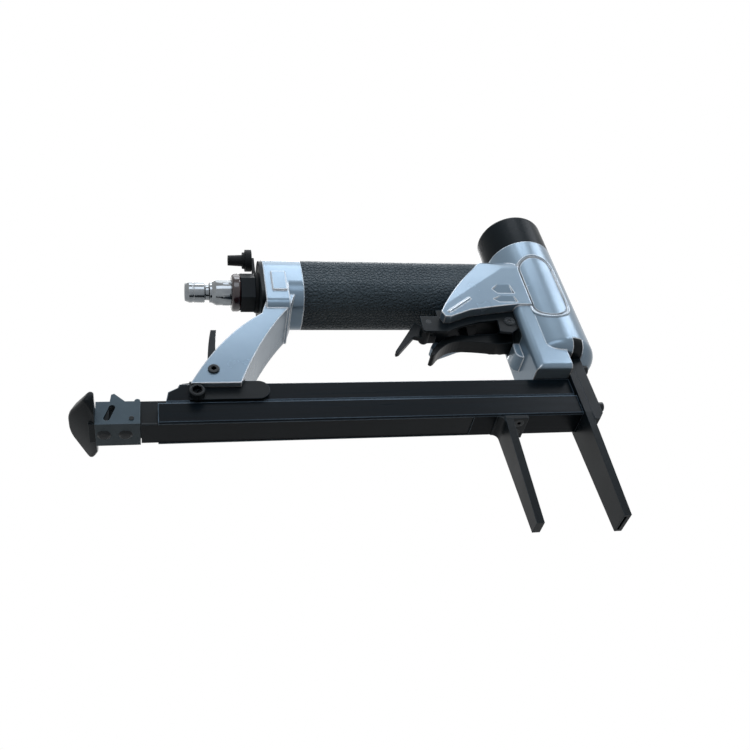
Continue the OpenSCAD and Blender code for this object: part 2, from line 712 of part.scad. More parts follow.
module slide_rivets() {
  color("#3a3a36") for (x = [x_slide_r + 4, x_slide_r + 14]) {
    translate([x, 0, z_slide]) rotate_extrude()
      polygon([[0, -1], [2.2, -0.9], [3.4, 0], [1.5, 0], [1.5, slide_t], [2.4, slide_t],
        [2.2, slide_t + 1], [0, slide_t + 1]]);
  }
}
module latch_pin() {
  color("#15181a") cyl_y(x_slide_f - 4, z_slide + 3.4, -slide_w / 2 - 0.4, slide_w / 2 + 0.4, 1.2);
}
module pull_plate() {
  w = pull_w / 2;
  l = pull_len / cos(pull_lean);
  x0 = x_slide_r - pull_len + 1.4;
  color("#2a2923") {
    difference() {
      translate([x0, 0, z_slide + 8]) rotate([0, pull_lean, 0]) linear_extrude(pull_t)
        polygon([[0, -pull_rear / 2], [l * 0.58, -w], [l * 0.74, -w], [l + 2, -slide_w / 2 + 1],
          [l + 2, slide_w / 2 - 1], [l * 0.74, w], [l * 0.58, w], [0, pull_rear / 2]]);
      box([x_slide_r, -big / 2, 0], [x_slide_r + big, big / 2, big]);
    }
    box([x_slide_r - 3, -slide_w / 2 + slide_t, z_slide + slide_t],
      [x_slide_r + 1.6, slide_w / 2 - slide_t, z_slide + slide_h - 3]);
  }
}
module pusher() {
  x1 = pusher_x;
  w = cav_up - 0.25;
  color("#5a5e62") difference() {
    union() {
      box([x1 - 18, -w, z_rail - 11], [x1, w, z_rail + 0.3 + 3]);
      both_sides() box([x1 - 18, -w, z_rail + 0.3], [x1 - 9, -w + 1.4, z_cav - 0.5]);
    }
    box([x1 - 19, -rail_w / 2 - 0.1, z_rail - 12], [x1 + 1, rail_w / 2 + 0.1, z_rail + 0.1]);
    box([x1 - 19, -w + 1.4, z_rail - 12], [x1 - 9, w - 1.4, z_cav]);
    cyl_y(x1 - 13.5, (z_rail + z_cav) / 2, -w - 1, w + 1, 1);
  }
}
module feed_spring() {
  w = cav_up - 0.25;
  color("#9aa0a5") {
    cyl_y(pusher_x - 13.5, (z_rail + z_cav) / 2, -w + 1.4, w - 1.4, (z_cav - z_rail) / 2 - 0.5);
    cyl_y(pusher_x - 13.5, (z_rail + z_cav) / 2, -w, w, 1);
  }
}
module staple_strip() {
  color("#c9ccd0") difference() {
    box([stick_x - stick_len, -staple_w / 2, z_crown - staple_leg], [stick_x, staple_w / 2, z_crown]);
    box([stick_x - stick_len - 1, -staple_in, z_crown - staple_leg - 1], [stick_x + 1, staple_in, z_crown - wire_t]);
  }
}

module rear_foot() {
  xf = -foot_x;
  xr = xf - foot_t;
  color("#23272b") difference() {
    union() {
      along(xr, xf) polygon([[-foot_tip_w / 2, 0], [foot_tip_w / 2, 0], [foot_w / 2, z_mag], [-foot_w / 2, z_mag]]);
      box([xr + 0.5, -foot_w / 2, z_mag - flange_t], [xf + flange_len, foot_w / 2, z_mag]);
      // rounded root behind the leg
      side(-foot_w / 2 + 0.6, foot_w / 2 - 0.6) polygon(concat([[xr + 1, z_mag], [xr - foot_fillet, z_mag]],
        bow([xr - foot_fillet, z_mag - 0.4], [xr, z_mag - 0.4], [xr, z_mag - foot_fillet - 1], 6),
        [[xr + 1, z_mag - foot_fillet - 1]]));
    }
    for (s = [-1, 1]) translate([xf + flange_len / 2, s * 4, z_mag - flange_t]) foot_screw_form(1);
  }
}
// Countersunk form about its axis, from the head's face upwards
module foot_screw_form(over) {
  top = flange_t + mag_floor_t - 0.4;
  rotate_extrude() polygon(concat([[0, -over]], over > 0 ? [[2.7, -over]] : [],
    [[2.7, 0], [1.5, 1.3], [1.5, top], [0, top]]));
}
module foot_screws() {
  color("#1d2023") for (s = [-1, 1]) translate([-foot_x + flange_len / 2, s * 4, z_mag - flange_t]) difference() {
    foot_screw_form(0);
    translate([0, 0, -1]) cylinder(r = 1.2, h = 2, $fn = 6);
  }
}

module hanger_outline() {
  r = hanger_h / 2;
  translate([x_foot_r - 0.6, z_hang]) square([hanger_len - r, hanger_h]);
  translate([x_foot_r - 0.6 + hanger_len - r, z_hang + r]) circle(r);
  translate([x_apin - 4.4, z_hang + r]) square([8.8, z_apin - z_hang - r]);
  translate([x_apin, z_apin]) circle(4.4);
}
module hanger_bracket() {
  color("#14181b") difference() {
    both_sides() side(-hanger_out, -hanger_in) hanger_outline();
    cyl_y(x_apin, z_apin, -big / 2, big / 2, arm_pin_d / 2);
    cyl_y(x_foot_r + 3, z_hang + 3.2, -big / 2, big / 2, 2);
  }
}
module bracket_screws() {
  color("#202326") both_sides()
    translate([x_foot_r + 3, -hanger_out, z_hang + 3.2]) rotate([90, 0, 0])
      socket_screw(2, hanger_out - cav_up - 0.2, 3.9, 4);
}
module arm_pin() {
  color("#141719") {
    cyl_y(x_apin, z_apin, -arm_w / 2, arm_w / 2, arm_pin_d / 2);
    both_sides() cyl_y(x_apin, z_apin, -arm_w / 2 - 1, -arm_w / 2, arm_pin_d / 2 + 0.9);
  }
}
module release_lever() {
  a = [x_apin, z_apin];
  h = lever_h;
  toe = x_mag + 10 - x_apin;
  color("#191c1e") difference() {
    union() {
      cyl_y(x_apin, z_apin, -hanger_in + 0.2, hanger_in - 0.2, arm_pin_d / 2 + 1);
      side(-4, 4) translate(a) polygon(concat(
        bow([-2.4, 0], [-2.6, h * 0.6], [0.4, h], 6), bow([3.4, h], [1.4, h * 0.6], [2.6, 0], 6)));
      side(-3, 3) translate(a) polygon([[0, -2.6], [toe + 1, -2.6], [toe, -1.6], [toe + 2, 0.2], [0, 2.6]]);
    }
    cyl_y(x_apin, z_apin, -big / 2, big / 2, arm_pin_d / 2 + run);
  }
}

module grip_sleeve() {
  color("#1e2226") difference() {
    intersection() {
      along(x_grip, 0) grip_section(0);
      translate([-0.1, 0, 0]) side(-big / 2, big / 2) polygon(concat(
        [[x_grip, z_grip + grip_h]], [[shoulder_a[0], z_grip + grip_h]],
        bow(shoulder_a, shoulder_b, shoulder_c, 10), [[shoulder_c[0], z_grip - grip_h], [x_grip, z_grip - grip_h]]));
    }
    along(x_grip - 1, 1) grip_section(grip_t);
  }
}
module end_plate() {
  color("#15181b") difference() {
    along(x_end, x_rear) {
      grip_section(0.4);
      translate([0, z_grip - grip_h / 4]) rrect(grip_w - 0.8, grip_h / 2 - 0.8, rear_round);
    }
    cyl_x(x_end - 1, x_rear + 1, 0, z_air, air_d / 2);
  }
}
module inlet_fitting() {
  color("#1a1d1f") difference() {
    union() {
      cyl_x(x_rear + 1, x_end, 0, z_air, air_d / 2 - seat);
      cyl_x(x_end, x_rear + 10, 0, z_air, air_d / 2 - seat);
      cyl_x(x_end - 2, x_end, 0, z_air, hex_af / 2 - 1);
      translate([x_end - 2 - hex_len, 0, z_air]) rotate([0, 90, 0]) rotate([0, 0, 30])
        cylinder(r = hex_af / 2 / cos(30), h = hex_len, $fn = 6);
    }
    cyl_x(x_end - 20, x_rear + 11, 0, z_air, plug_d / 2 - 2);
    cyl_x(x_end - 20, x_end - 1, 0, z_air, plug_d / 2 + 0.3);
  }
}
module collar_ring() {
  r = collar_d / 2;
  q = collar_len / 2;
  color("#3a1512") translate([plug_x + q, 0, z_air]) rotate([0, 90, 0]) difference() {
    rotate_extrude() {
      translate([0, -q]) square([r - 1.5, collar_len]);
      translate([0, -q + 1.5]) square([r, collar_len - 3]);
      for (s = [-1, 1]) translate([r - 1.5, s * (q - 1.5)]) circle(1.5);
    }
    cylinder(r = plug_d / 2 + 0.3 + seat, h = collar_len * 3, center = true);
  }
}
module air_plug() {
  r = plug_d / 2;
  l = plug_len;
  color("#c9cdd0") translate([plug_x, 0, z_air]) rotate([0, -90, 0]) difference() {
    rotate_extrude() polygon([[0, -collar_len - hex_len + 3], [r + 0.3, -collar_len - hex_len + 3],
      [r + 0.3, 0], [r + 1.4, 0], [r + 1.4, l * 0.34], [r + 0.9, l * 0.4], [r, l * 0.46],
      [r - 1.6, l * 0.5], [r - 1.6, l * 0.56], [r, l * 0.6], [r, l - 3], [r - 1.2, l], [0, l]]);
    translate([0, 0, -big / 4]) cylinder(r = r - 2.4, h = big / 2);
  }
}
module dust_strap() {
  x0 = x_end - 1.8;
  color("#191b1c") difference() {
    union() {
      cyl_x(x0, x_end - 0.2, 0, z_air, hex_af / 2 + 1.6);
      box([x0, -2.2, z_air + hex_af / 2], [x_end - 0.2, 2.2, z_air + dust_reach]);
    }
    cyl_x(x0 - 1, x_end + 1, 0, z_air, hex_af / 2 - 1 + gap);
  }
}
module dust_plug() {
  x0 = x_end - 1.8;
  color("#1c1e1f") {
    cyl_x(x0 - 3.6, x0, 0, z_air + dust_reach, dust_d / 2);
    cyl_x(x0 - 5.2, x0 - 3.6, 0, z_air + dust_reach, dust_d / 2 - 1.6);
    translate([x0 - 5.2, 0, z_air + dust_reach]) rotate([0, -90, 0]) cylinder(r1 = 3.4, r2 = 3, h = 8.4);
  }
}

module bracket_outline() {
  polygon([[x_brk_r, slot_top - 4.7], [x_brk_r, slot_top - 15.4], [x_brk_r + 1.2, slot_top - 16.6],
    [x_safe + 9.5, slot_top - 16.6], [x_safe + 18, slot_top - 12.8], [x_pin - 19, slot_top - 9.2],
    [x_pin - 7, slot_top - 7.6], [x_pin - 7.6, slot_top - 16.8], [x_pin - 0.7, slot_top - 17.8],
    [x_pin + 4.7, slot_top - 13.7], [x_brk_f - 0.6, slot_top - 9.6], [x_brk_f, slot_top],
    [x_safe + 6, slot_top], [x_safe + 6, slot_top - 4.7]]);
}
module trigger_bracket() {
  color("#1b1f24") difference() {
    union() {
      side(-brk_w / 2, -brk_in) bracket_outline();
      // the far plate is shallower and leaves out the rear lug
      side(brk_in, brk_w / 2) difference() {
        bracket_outline();
        translate([x_brk_r - 1, 0]) square([big, slot_top - 12.4]);
        translate([x_brk_r - 1, 0]) square([x_pin - 20 - x_brk_r, slot_top - brk_t - 0.4]);
      }
      box([x_safe + 6, -brk_w / 2, slot_top - brk_t], [x_brk_f, brk_w / 2, slot_top]);
    }
    cyl_y(x_pin, z_pin, -big / 2, big / 2, trig_pin_d / 2);
    cyl_y(x_safe, z_safe, -big / 2, big / 2, safe_pin_d / 2);
    cyl_z(x_valve, 0, slot_top - 10, slot_top + 1, bush_d / 2 + seat);
  }
}
module trigger() {
  color("#191c1f") difference() {
    union() {
      cyl_y(x_pin, z_pin, -trig_w / 2, trig_w / 2, trig_pin_d / 2 + 2);
      side(-trig_w / 2, trig_w / 2) translate([x_pin, z_pin]) polygon(concat(
        [[3.4, -1], [2.1, -9.7]],
        bow([-8.4, -10.6], [-19.4, -8.6], [-30.4, -8.4], 5),
        bow([-30.4, -8.4], [-39, -8.8], [-46, -17.6], 8),
        bow([-46, -17.6], [-48.6, -20.6], [-49.6, -18], 5),
        bow([-49.6, -18], [-45, -9.4], [-37, -5.2], 8),
        [[-33.4, -3.8], [-20.6, -3.8], [-18.6, -3], [-6.4, -2.4], [-3.6, 1]]));
    }
    cyl_y(x_pin, z_pin, -big / 2, big / 2, trig_pin_d / 2 + run);
  }
}
module trigger_pin() {
  color("#3b4046") difference() {
    union() {
      cyl_y(x_pin, z_pin, -brk_w / 2, brk_w / 2, trig_pin_d / 2);
      both_sides() cyl_y(x_pin, z_pin, -brk_w / 2 - 0.8, -brk_w / 2, trig_pin_d / 2 + 0.9);
    }
    both_sides() cyl_y(x_pin, z_pin, -brk_w, -brk_w / 2 + 1, trig_pin_d / 4);
  }
}
module safety_lever() {
  w = brk_in - 0.3;
  h = safe_t / 2;
  color("#17191b") difference() {
    union() {
      cyl_y(x_safe, z_safe, -w, 3, safe_pin_d / 2 + 1.8);
      side(-h, h) translate([x_safe, z_safe]) polygon(concat([[2.4, 1], [-0.6, 7.2], [-4.4, 9.3]],
        bow([-19.6, -13], [-20.2, -15.6], [-17.4, -13.8], 4), [[-6.6, -1.4], [-1, -3]]));
      side(-3, 3) translate([x_safe, z_safe])
        polygon([[-2.8, -1], [-1.4, -2.8], [6, -2.6], [6.4, 3.2], [0, 3.2]]);
    }
    cyl_y(x_safe, z_safe, -big / 2, big / 2, safe_pin_d / 2 + run);
  }
}
module safety_pin() {
  color("#101214") {
    cyl_y(x_safe, z_safe, -brk_w / 2, 3.3, safe_pin_d / 2);
    cyl_y(x_safe, z_safe, 3.3, 4.3, safe_pin_d / 2 + 1);
  }
}
module valve_bushing() {
  zt = z_grip - air_d / 4 - 0.5;
  zb = slot_top - brk_t - 3;
  color("#b49a55") difference() {
    union() {
      cyl_z(x_valve, 0, zb, zt, bush_d / 2);
      cyl_z(x_valve, 0, zb, slot_top - brk_t, bush_d / 2 + 1.6);
    }
    cyl_z(x_valve, 0, zb - 1, zt, stem_d / 2 + run);
    cyl_z(x_valve, 0, zb + 3, zt - 1.5, bush_d / 2 - 1.8);
    for (z = [slot_top + 3, slot_top + 10]) difference() {
      cyl_z(x_valve, 0, z, z + 1.6, bush_d / 2 + 1);
      cyl_z(x_valve, 0, z - 1, z + 3, bush_d / 2 - 1);
    }
  }
}
module valve_seals() {
  color("#161616") for (z = [slot_top + 3, slot_top + 10])
    translate([x_valve, 0, z + 0.8]) rotate_extrude() translate([bush_d / 2 - 0.4, 0]) circle(0.42);
}
module valve_stem() {
  zb = slot_top - brk_t - 3;
  color("#a08a50") {
    cyl_z(x_valve, 0, z_trig + 0.15, zb + 5, stem_d / 2);
    cyl_z(x_valve, 0, zb + 3.1, zb + 6, bush_d / 2 - 1.8 - run);
  }
}
module valve_spring() {
  zt = z_grip - air_d / 4 - 0.5;
  zb = slot_top - brk_t - 3;
  color("#9aa0a5") translate([x_valve, 0, 0]) helix(3.6, 0.8, zb + 6, zt - 1.5, 5);
}

main_housing();
head_cap();
cap_gasket();
cylinder_liner();
bumper();
head_valve();
head_valve_spring();
piston();
piston_ring();
driver_blade();
driver_pin();
nose_leg();
nose_cover();
nose_screws();
magazine_body();
slide_rail();
slide_block();
slide_rivets();
latch_pin();
pull_plate();
pusher();
feed_spring();
staple_strip();
rear_foot();
foot_screws();
hanger_bracket();
bracket_screws();
arm_pin();
release_lever();
grip_sleeve();
end_plate();
inlet_fitting();
collar_ring();
air_plug();
dust_plug();
dust_strap();
trigger_bracket();
trigger();
trigger_pin();
safety_lever();
safety_pin();
valve_bushing();
valve_seals();
valve_stem();
valve_spring();
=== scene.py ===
"""Studio scene of a pneumatic upholstery stapler with a long nose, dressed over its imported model."""
import logging
import math
from collections.abc import Sequence
from dataclasses import dataclass, field
from enum import Enum
from typing import ClassVar, Optional

import bmesh
import bpy
from mathutils import Matrix, Vector


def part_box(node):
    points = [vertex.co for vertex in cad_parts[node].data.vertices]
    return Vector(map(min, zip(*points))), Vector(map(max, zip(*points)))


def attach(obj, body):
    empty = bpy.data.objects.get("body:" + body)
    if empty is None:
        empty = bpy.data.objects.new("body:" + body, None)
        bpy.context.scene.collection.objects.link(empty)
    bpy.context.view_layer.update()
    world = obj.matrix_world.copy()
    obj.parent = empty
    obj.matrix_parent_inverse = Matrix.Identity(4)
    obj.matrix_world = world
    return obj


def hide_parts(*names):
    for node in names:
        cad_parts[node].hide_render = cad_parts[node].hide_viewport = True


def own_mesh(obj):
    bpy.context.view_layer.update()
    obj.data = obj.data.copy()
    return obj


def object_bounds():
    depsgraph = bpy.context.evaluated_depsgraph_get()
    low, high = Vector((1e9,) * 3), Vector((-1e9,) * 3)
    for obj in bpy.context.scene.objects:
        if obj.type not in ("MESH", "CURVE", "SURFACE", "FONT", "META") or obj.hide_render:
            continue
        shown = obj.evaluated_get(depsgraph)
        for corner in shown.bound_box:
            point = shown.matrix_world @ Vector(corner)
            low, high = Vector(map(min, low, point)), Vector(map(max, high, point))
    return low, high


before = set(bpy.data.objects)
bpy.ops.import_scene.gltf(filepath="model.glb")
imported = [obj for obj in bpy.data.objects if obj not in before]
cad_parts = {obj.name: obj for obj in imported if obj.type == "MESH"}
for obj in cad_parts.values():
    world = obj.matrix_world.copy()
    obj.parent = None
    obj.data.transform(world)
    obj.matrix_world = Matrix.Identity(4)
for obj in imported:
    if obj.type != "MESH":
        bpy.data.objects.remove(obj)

# A place, a direction or a stretch in X, Y and Z; and the corners of an outline or a profile.
Triple = tuple[float, float, float]
Corners = Sequence[tuple[float, float]]

CAD_BOX: tuple[Vector, Vector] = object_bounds()
LOG: logging.Logger = logging.getLogger("stapler")
MM: float = 0.001
# The tool's right and left side.
SIDES: tuple[int, int] = (-1, 1)
# Radius of the tool's head, in millimetres.
HEAD_R: float = 21.0
# Points closer than this, in metres, are one point.
SAME_POINT: float = 1e-6
# Faces that meet at more than this keep a sharp edge between them.
SHARP_ANGLE: float = math.radians(32)
# Inputs and output of a Mix node that mixes colours.
COLOUR_A: int = 6
COLOUR_B: int = 7
MIXED: int = 2


def linear(hex_colour: str) -> tuple[float, float, float, float]:
    """Turn an sRGB colour, "#rrggbb", into a shader's linear red, green and blue, with an alpha of one."""
    values = [int(hex_colour[i:i + 2], 16) / 255 for i in (1, 3, 5)]
    return (*(v / 12.92 if v <= 0.04045 else ((v + 0.055) / 1.055) ** 2.4 for v in values), 1.0)


def add(tree: bpy.types.NodeTree, kind: str, links: Optional[dict] = None,
        **settings: object) -> bpy.types.Node:
    """Add one node with its settings, its socket values and its links.

    Args:
        tree: node tree that takes the node.
        kind: Blender's node type.
        links: socket name or number to a value, or to a (node, output) pair.
        settings: attributes of the node itself.

    Returns:
        The new node.
    """
    node = tree.nodes.new(kind)
    for name, value in settings.items():
        setattr(node, name, value)
    for socket, value in (links or {}).items():
        if isinstance(value, tuple) and isinstance(value[0], bpy.types.Node):
            tree.links.new(value[0].outputs[value[1]], node.inputs[socket])
        else:
            node.inputs[socket].default_value = value
    return node


class Grain(Enum):
    """How a surface was made, which sets the pattern of its bump."""

    CAST = "cast"
    PEBBLED = "pebbled"
    MOULDED = "moulded"
    DRAWN = "drawn"
    SPRAYED = "sprayed"


@dataclass(frozen=True)
class Finish:
    """One material: what it is made of, how its surface was made and what the eye sees of it.

    Attributes:
        name: name of the material.
        slot: the record's material slot; not used.
        colour: main colour.
        shade: second colour of its mottling.
        wear_and_highlight: colour of its rubbed edges and of the highlight painted along them.
        grain: how the surface was made.
        grain_mm: spacing of the grain.
        bump_mm: depth of the grain.
        mottle_mm: size of the mottled patches.
        roughness: middle of its roughness.
        swing: how far the roughness goes up and down from there.
        metallic: share that is bare metal.
        wear_and_highlight_share: how strongly an edge takes the rubbed colour and the painted highlight.
        edge_mm: radius that the edges seem to have.
        specular: strength of the gloss where it isn't metal.
        coat: share of a clear coat.
        recess_shade: how much darker the painted shade makes tight recesses.
        recess_shade_mm: how wide a recess counts as tight for the painted shade.
        lay: stretch of the patterns along X, Y and Z.
    """

    name: str
    slot: str
    colour: str
    shade: str
    wear_and_highlight: str
    grain: Grain
    grain_mm: float
    bump_mm: float
    mottle_mm: float
    roughness: float
    swing: float
    metallic: float = 0.0
    wear_and_highlight_share: float = 0.5
    edge_mm: float = 0.35
    specular: float = 0.5
    coat: float = 0.0
    recess_shade: float = 0.0
    recess_shade_mm: float = 2.0
    lay: Triple = (1.0, 1.0, 1.0)

    # Noise of the mottling, and the stretches of it that move colour, gloss and the rubbed edges with their
    # painted highlight.
    mottle_detail: ClassVar[float] = 5.0
    mottle_roughness: ClassVar[float] = 0.55
    colour_from: ClassVar[float] = 0.32
    colour_to: ClassVar[float] = 0.68
    gloss_from: ClassVar[float] = 0.25
    gloss_to: ClassVar[float] = 0.75
    wear_and_highlight_from: ClassVar[float] = 0.3
    wear_and_highlight_to: ClassVar[float] = 0.6
    wear_and_highlight_least: ClassVar[float] = 0.35
    # Cosine between rounded and flat normal, where an edge begins and where it is full.
    edge_from: ClassVar[float] = 0.99
    edge_to: ClassVar[float] = 0.9
    edge_samples: ClassVar[int] = 6
    # Openness at which a recess takes its darkest painted shade, and at which it takes none.
    recess_from: ClassVar[float] = 0.3
    recess_to: ClassVar[float] = 0.8
    recess_samples: ClassVar[int] = 8
    smoothest: ClassVar[float] = 0.02
    coat_roughness: ClassVar[float] = 0.12
    # Pebbles: size and strength of the noise that bends their rows, their disorder and their flanks.
    pebble_bend_scale: ClassVar[float] = 0.6
    pebble_bend_detail: ClassVar[float] = 2.0
    pebble_bend: ClassVar[float] = 0.4
    pebble_disorder: ClassVar[float] = 0.85
    pebble_flank: ClassVar[float] = 0.32
    speckle_roughness: ClassVar[float] = 0.6
    speckle_detail: ClassVar[dict[Grain, float]] = {
        Grain.CAST: 5.0, Grain.MOULDED: 2.0, Grain.SPRAYED: 3.0, Grain.DRAWN: 3.0}

    def material(self) -> bpy.types.Material:
        """Return the Blender material of this finish, made on first use."""
        return bpy.data.materials.get(self.name) or self._make()

    def _make(self) -> bpy.types.Material:
        """Build the node tree: colour, uneven gloss, rounded edges and the grain's bump.

        Returns:
            The new material.
        """
        made = bpy.data.materials.new(self.name)
        made.use_nodes = True
        tree = made.node_tree
        tree.nodes.clear()
        place = add(tree, "ShaderNodeTexCoord")
        laid = add(tree, "ShaderNodeMapping", {"Vector": (place, "Object"), "Scale": self.lay})
        mottle = add(tree, "ShaderNodeTexNoise", {
            "Vector": (laid, "Vector"), "Scale": 1 / MM / self.mottle_mm,
            "Detail": self.mottle_detail, "Roughness": self.mottle_roughness})
        height = self._height(tree, laid)
        round_edge = add(tree, "ShaderNodeBevel", {"Radius": self.edge_mm * MM}, samples=self.edge_samples)
        colour = self._colour(tree, mottle, round_edge)
        gloss = add(tree, "ShaderNodeMapRange", {
            "Value": (mottle, "Fac"), "From Min": self.gloss_from, "From Max": self.gloss_to,
            "To Min": max(self.roughness - self.swing, self.smoothest),
            "To Max": self.roughness + self.swing})
        bump = add(tree, "ShaderNodeBump", {
            "Strength": 1.0, "Distance": self.bump_mm * MM, "Height": height,
            "Normal": (round_edge, "Normal")})
        shader = add(tree, "ShaderNodeBsdfPrincipled", {
            "Base Color": (colour, MIXED), "Roughness": (gloss, "Result"), "Normal": (bump, "Normal"),
            "Metallic": self.metallic, "Specular IOR Level": self.specular,
            "Coat Weight": self.coat, "Coat Roughness": self.coat_roughness})
        add(tree, "ShaderNodeOutputMaterial", {"Surface": (shader, "BSDF")})
        return made

    def _colour(self, tree: bpy.types.NodeTree, mottle: bpy.types.Node,
                round_edge: bpy.types.Node) -> bpy.types.Node:
        """Add the mottled colour with its rubbed edges and painted edge highlights and, where the finish has
        any, painted shade in its recesses.

        Args:
            tree: node tree of the material.
            mottle: noise node that makes the surface uneven.
            round_edge: bevel node that gives the rounded edges.

        Returns:
            The mix node that gives the colour.
        """
        spread = add(tree, "ShaderNodeMapRange", {
            "Value": (mottle, "Fac"), "From Min": self.colour_from, "From Max": self.colour_to})
        body = add(tree, "ShaderNodeMix", {
            "Factor": (spread, "Result"), COLOUR_A: linear(self.colour), COLOUR_B: linear(self.shade)},
            data_type="RGBA")
        flat = add(tree, "ShaderNodeNewGeometry")
        bend = add(tree, "ShaderNodeVectorMath", {0: (round_edge, "Normal"), 1: (flat, "Normal")},
                   operation="DOT_PRODUCT")
        edge = add(tree, "ShaderNodeMapRange", {
            "Value": (bend, "Value"), "From Min": self.edge_from, "From Max": self.edge_to,
            "To Max": self.wear_and_highlight_share})
        patchy = add(tree, "ShaderNodeMapRange", {
            "Value": (mottle, "Fac"), "From Min": self.wear_and_highlight_from, "From Max": self.wear_and_highlight_to,
            "To Min": self.wear_and_highlight_least})
        worn_and_highlit = add(tree, "ShaderNodeMath", {0: (edge, "Result"), 1: (patchy, "Result")}, operation="MULTIPLY")
        # Rubbed edges, and a highlight painted along the edges, mixed into the colour itself.
        colour = add(tree, "ShaderNodeMix", {
            "Factor": (worn_and_highlit, "Value"), COLOUR_A: (body, MIXED), COLOUR_B: linear(self.wear_and_highlight)},
            data_type="RGBA")
        if not self.recess_shade:
            return colour
        # Painted shade: tight recesses are darkened in the colour itself, the less open the darker.
        openness = add(tree, "ShaderNodeAmbientOcclusion", {"Distance": self.recess_shade_mm * MM},
                       samples=self.recess_samples)
        painted_shade_factor = add(tree, "ShaderNodeMapRange", {
            "Value": (openness, "AO"), "From Min": self.recess_from, "From Max": self.recess_to,
            "To Min": 1 - self.recess_shade})
        return add(tree, "ShaderNodeMix", {
            "Factor": 1.0, COLOUR_A: (colour, MIXED), COLOUR_B: (painted_shade_factor, "Result")},
            data_type="RGBA", blend_type="MULTIPLY")

    def _height(self, tree: bpy.types.NodeTree, laid: bpy.types.Node) -> tuple[bpy.types.Node, str]:
        """Add the pattern that the bump follows.

        Args:
            tree: node tree of the material.
            laid: mapping node that gives the place on the piece.

        Returns:
            The node and the output that give the height.
        """
        scale = 1 / MM / self.grain_mm
        if self.grain is Grain.PEBBLED:
            bend = add(tree, "ShaderNodeTexNoise", {
                "Vector": (laid, "Vector"), "Scale": scale * self.pebble_bend_scale,
                "Detail": self.pebble_bend_detail})
            shift = add(tree, "ShaderNodeVectorMath", {
                0: (bend, "Color"), 1: (self.pebble_bend / scale,) * 3}, operation="MULTIPLY")
            spot = add(tree, "ShaderNodeVectorMath", {
                0: (laid, "Vector"), 1: (shift, "Vector")}, operation="ADD")
            cells = add(tree, "ShaderNodeTexVoronoi", {
                "Vector": (spot, "Vector"), "Scale": scale, "Randomness": self.pebble_disorder},
                feature="DISTANCE_TO_EDGE")
            dome = add(tree, "ShaderNodeMapRange", {
                "Value": (cells, "Distance"), "From Min": 0.0, "From Max": self.pebble_flank},
                interpolation_type="SMOOTHSTEP")
            return dome, "Result"
        speckle = add(tree, "ShaderNodeTexNoise", {
            "Vector": (laid, "Vector"), "Scale": scale, "Detail": self.speckle_detail[self.grain],
            "Roughness": self.speckle_roughness})
        return speckle, "Fac"


# Directions in which drawn, rolled or turned surfaces keep their lines.
ALONG_X: Triple = (0.05, 1.0, 1.0)
ALONG_Y: Triple = (1.0, 0.05, 1.0)
ALONG_Z: Triple = (1.0, 1.0, 0.05)

# Grain that is too fine to show, such as a casting's skin or ground lines, is drawn coarser than it is.

# Die-cast aluminium, tumbled smooth: satin silver with a cool tint, with a near-white highlight painted along
# its rounded edges and painted shade in its recesses.
CASTING = Finish(
    name="die_cast_aluminium", slot="cast_aluminium", colour="#748999", shade="#657a8b", wear_and_highlight="#f4faff",
    grain=Grain.CAST, grain_mm=3.0, bump_mm=0.015, mottle_mm=45, roughness=0.25, swing=0.04,
    metallic=0.34, wear_and_highlight_share=1.0, edge_mm=1.2, specular=0.4, recess_shade=0.55)
# Black-coated aluminium cap: satin, slightly blue, with paler rubbed edges.
CAP_COAT = Finish(
    name="coated_aluminium_cap", slot="black_cap", colour="#10191e", shade="#0b1216", wear_and_highlight="#35424a",
    grain=Grain.SPRAYED, grain_mm=1.1, bump_mm=0.03, mottle_mm=25, roughness=0.3, swing=0.06,
    edge_mm=0.6, specular=0.04)
# Nitrile seal rubber: dull black that takes almost no light.
SEAL = Finish(
    name="nitrile_rubber", slot="seal_rubber", colour="#15181a", shade="#0e1112", wear_and_highlight="#25282a",
    grain=Grain.MOULDED, grain_mm=0.9, bump_mm=0.03, mottle_mm=9, roughness=0.6, swing=0.06,
    wear_and_highlight_share=0.3, edge_mm=0.3, specular=0.12)
# Ground and hardened tool steel: grey, with fine lines along its length.
STEEL = Finish(
    name="ground_tool_steel", slot="bright_steel", colour="#a9adb2", shade="#8d9297", wear_and_highlight="#d8dcdf",
    grain=Grain.DRAWN, grain_mm=0.8, bump_mm=0.015, mottle_mm=14, roughness=0.28, swing=0.06,
    metallic=1.0, edge_mm=0.25, lay=ALONG_Z)
# Oil-tempered spring wire: darker grey with a slight straw tint.
SPRING = Finish(
    name="tempered_spring_wire", slot="spring_steel", colour="#8a8780", shade="#6f6c66", wear_and_highlight="#b8b5ae",
    grain=Grain.DRAWN, grain_mm=0.7, bump_mm=0.01, mottle_mm=6, roughness=0.32, swing=0.05,
    metallic=1.0, wear_and_highlight_share=0.4, edge_mm=0.15)
# Glass-filled nylon: black, faintly mottled, with a soft moulded sheen.
NYLON = Finish(
    name="glass_filled_nylon", slot="black_plastic", colour="#0f171b", shade="#0a1013", wear_and_highlight="#2a343a",
    grain=Grain.MOULDED, grain_mm=0.7, bump_mm=0.03, mottle_mm=16, roughness=0.42, swing=0.06,
    wear_and_highlight_share=0.4, edge_mm=0.4, specular=0.1)
# Phosphated and oiled steel: blue-black, satin, with grey metal where edges have rubbed.
BLACK_STEEL = Finish(
    name="oiled_black_steel", slot="black_steel", colour="#10181d", shade="#0a1013", wear_and_highlight="#46545e",
    grain=Grain.SPRAYED, grain_mm=1.0, bump_mm=0.02, mottle_mm=22, roughness=0.36, swing=0.06,
    edge_mm=0.5, specular=0.1)
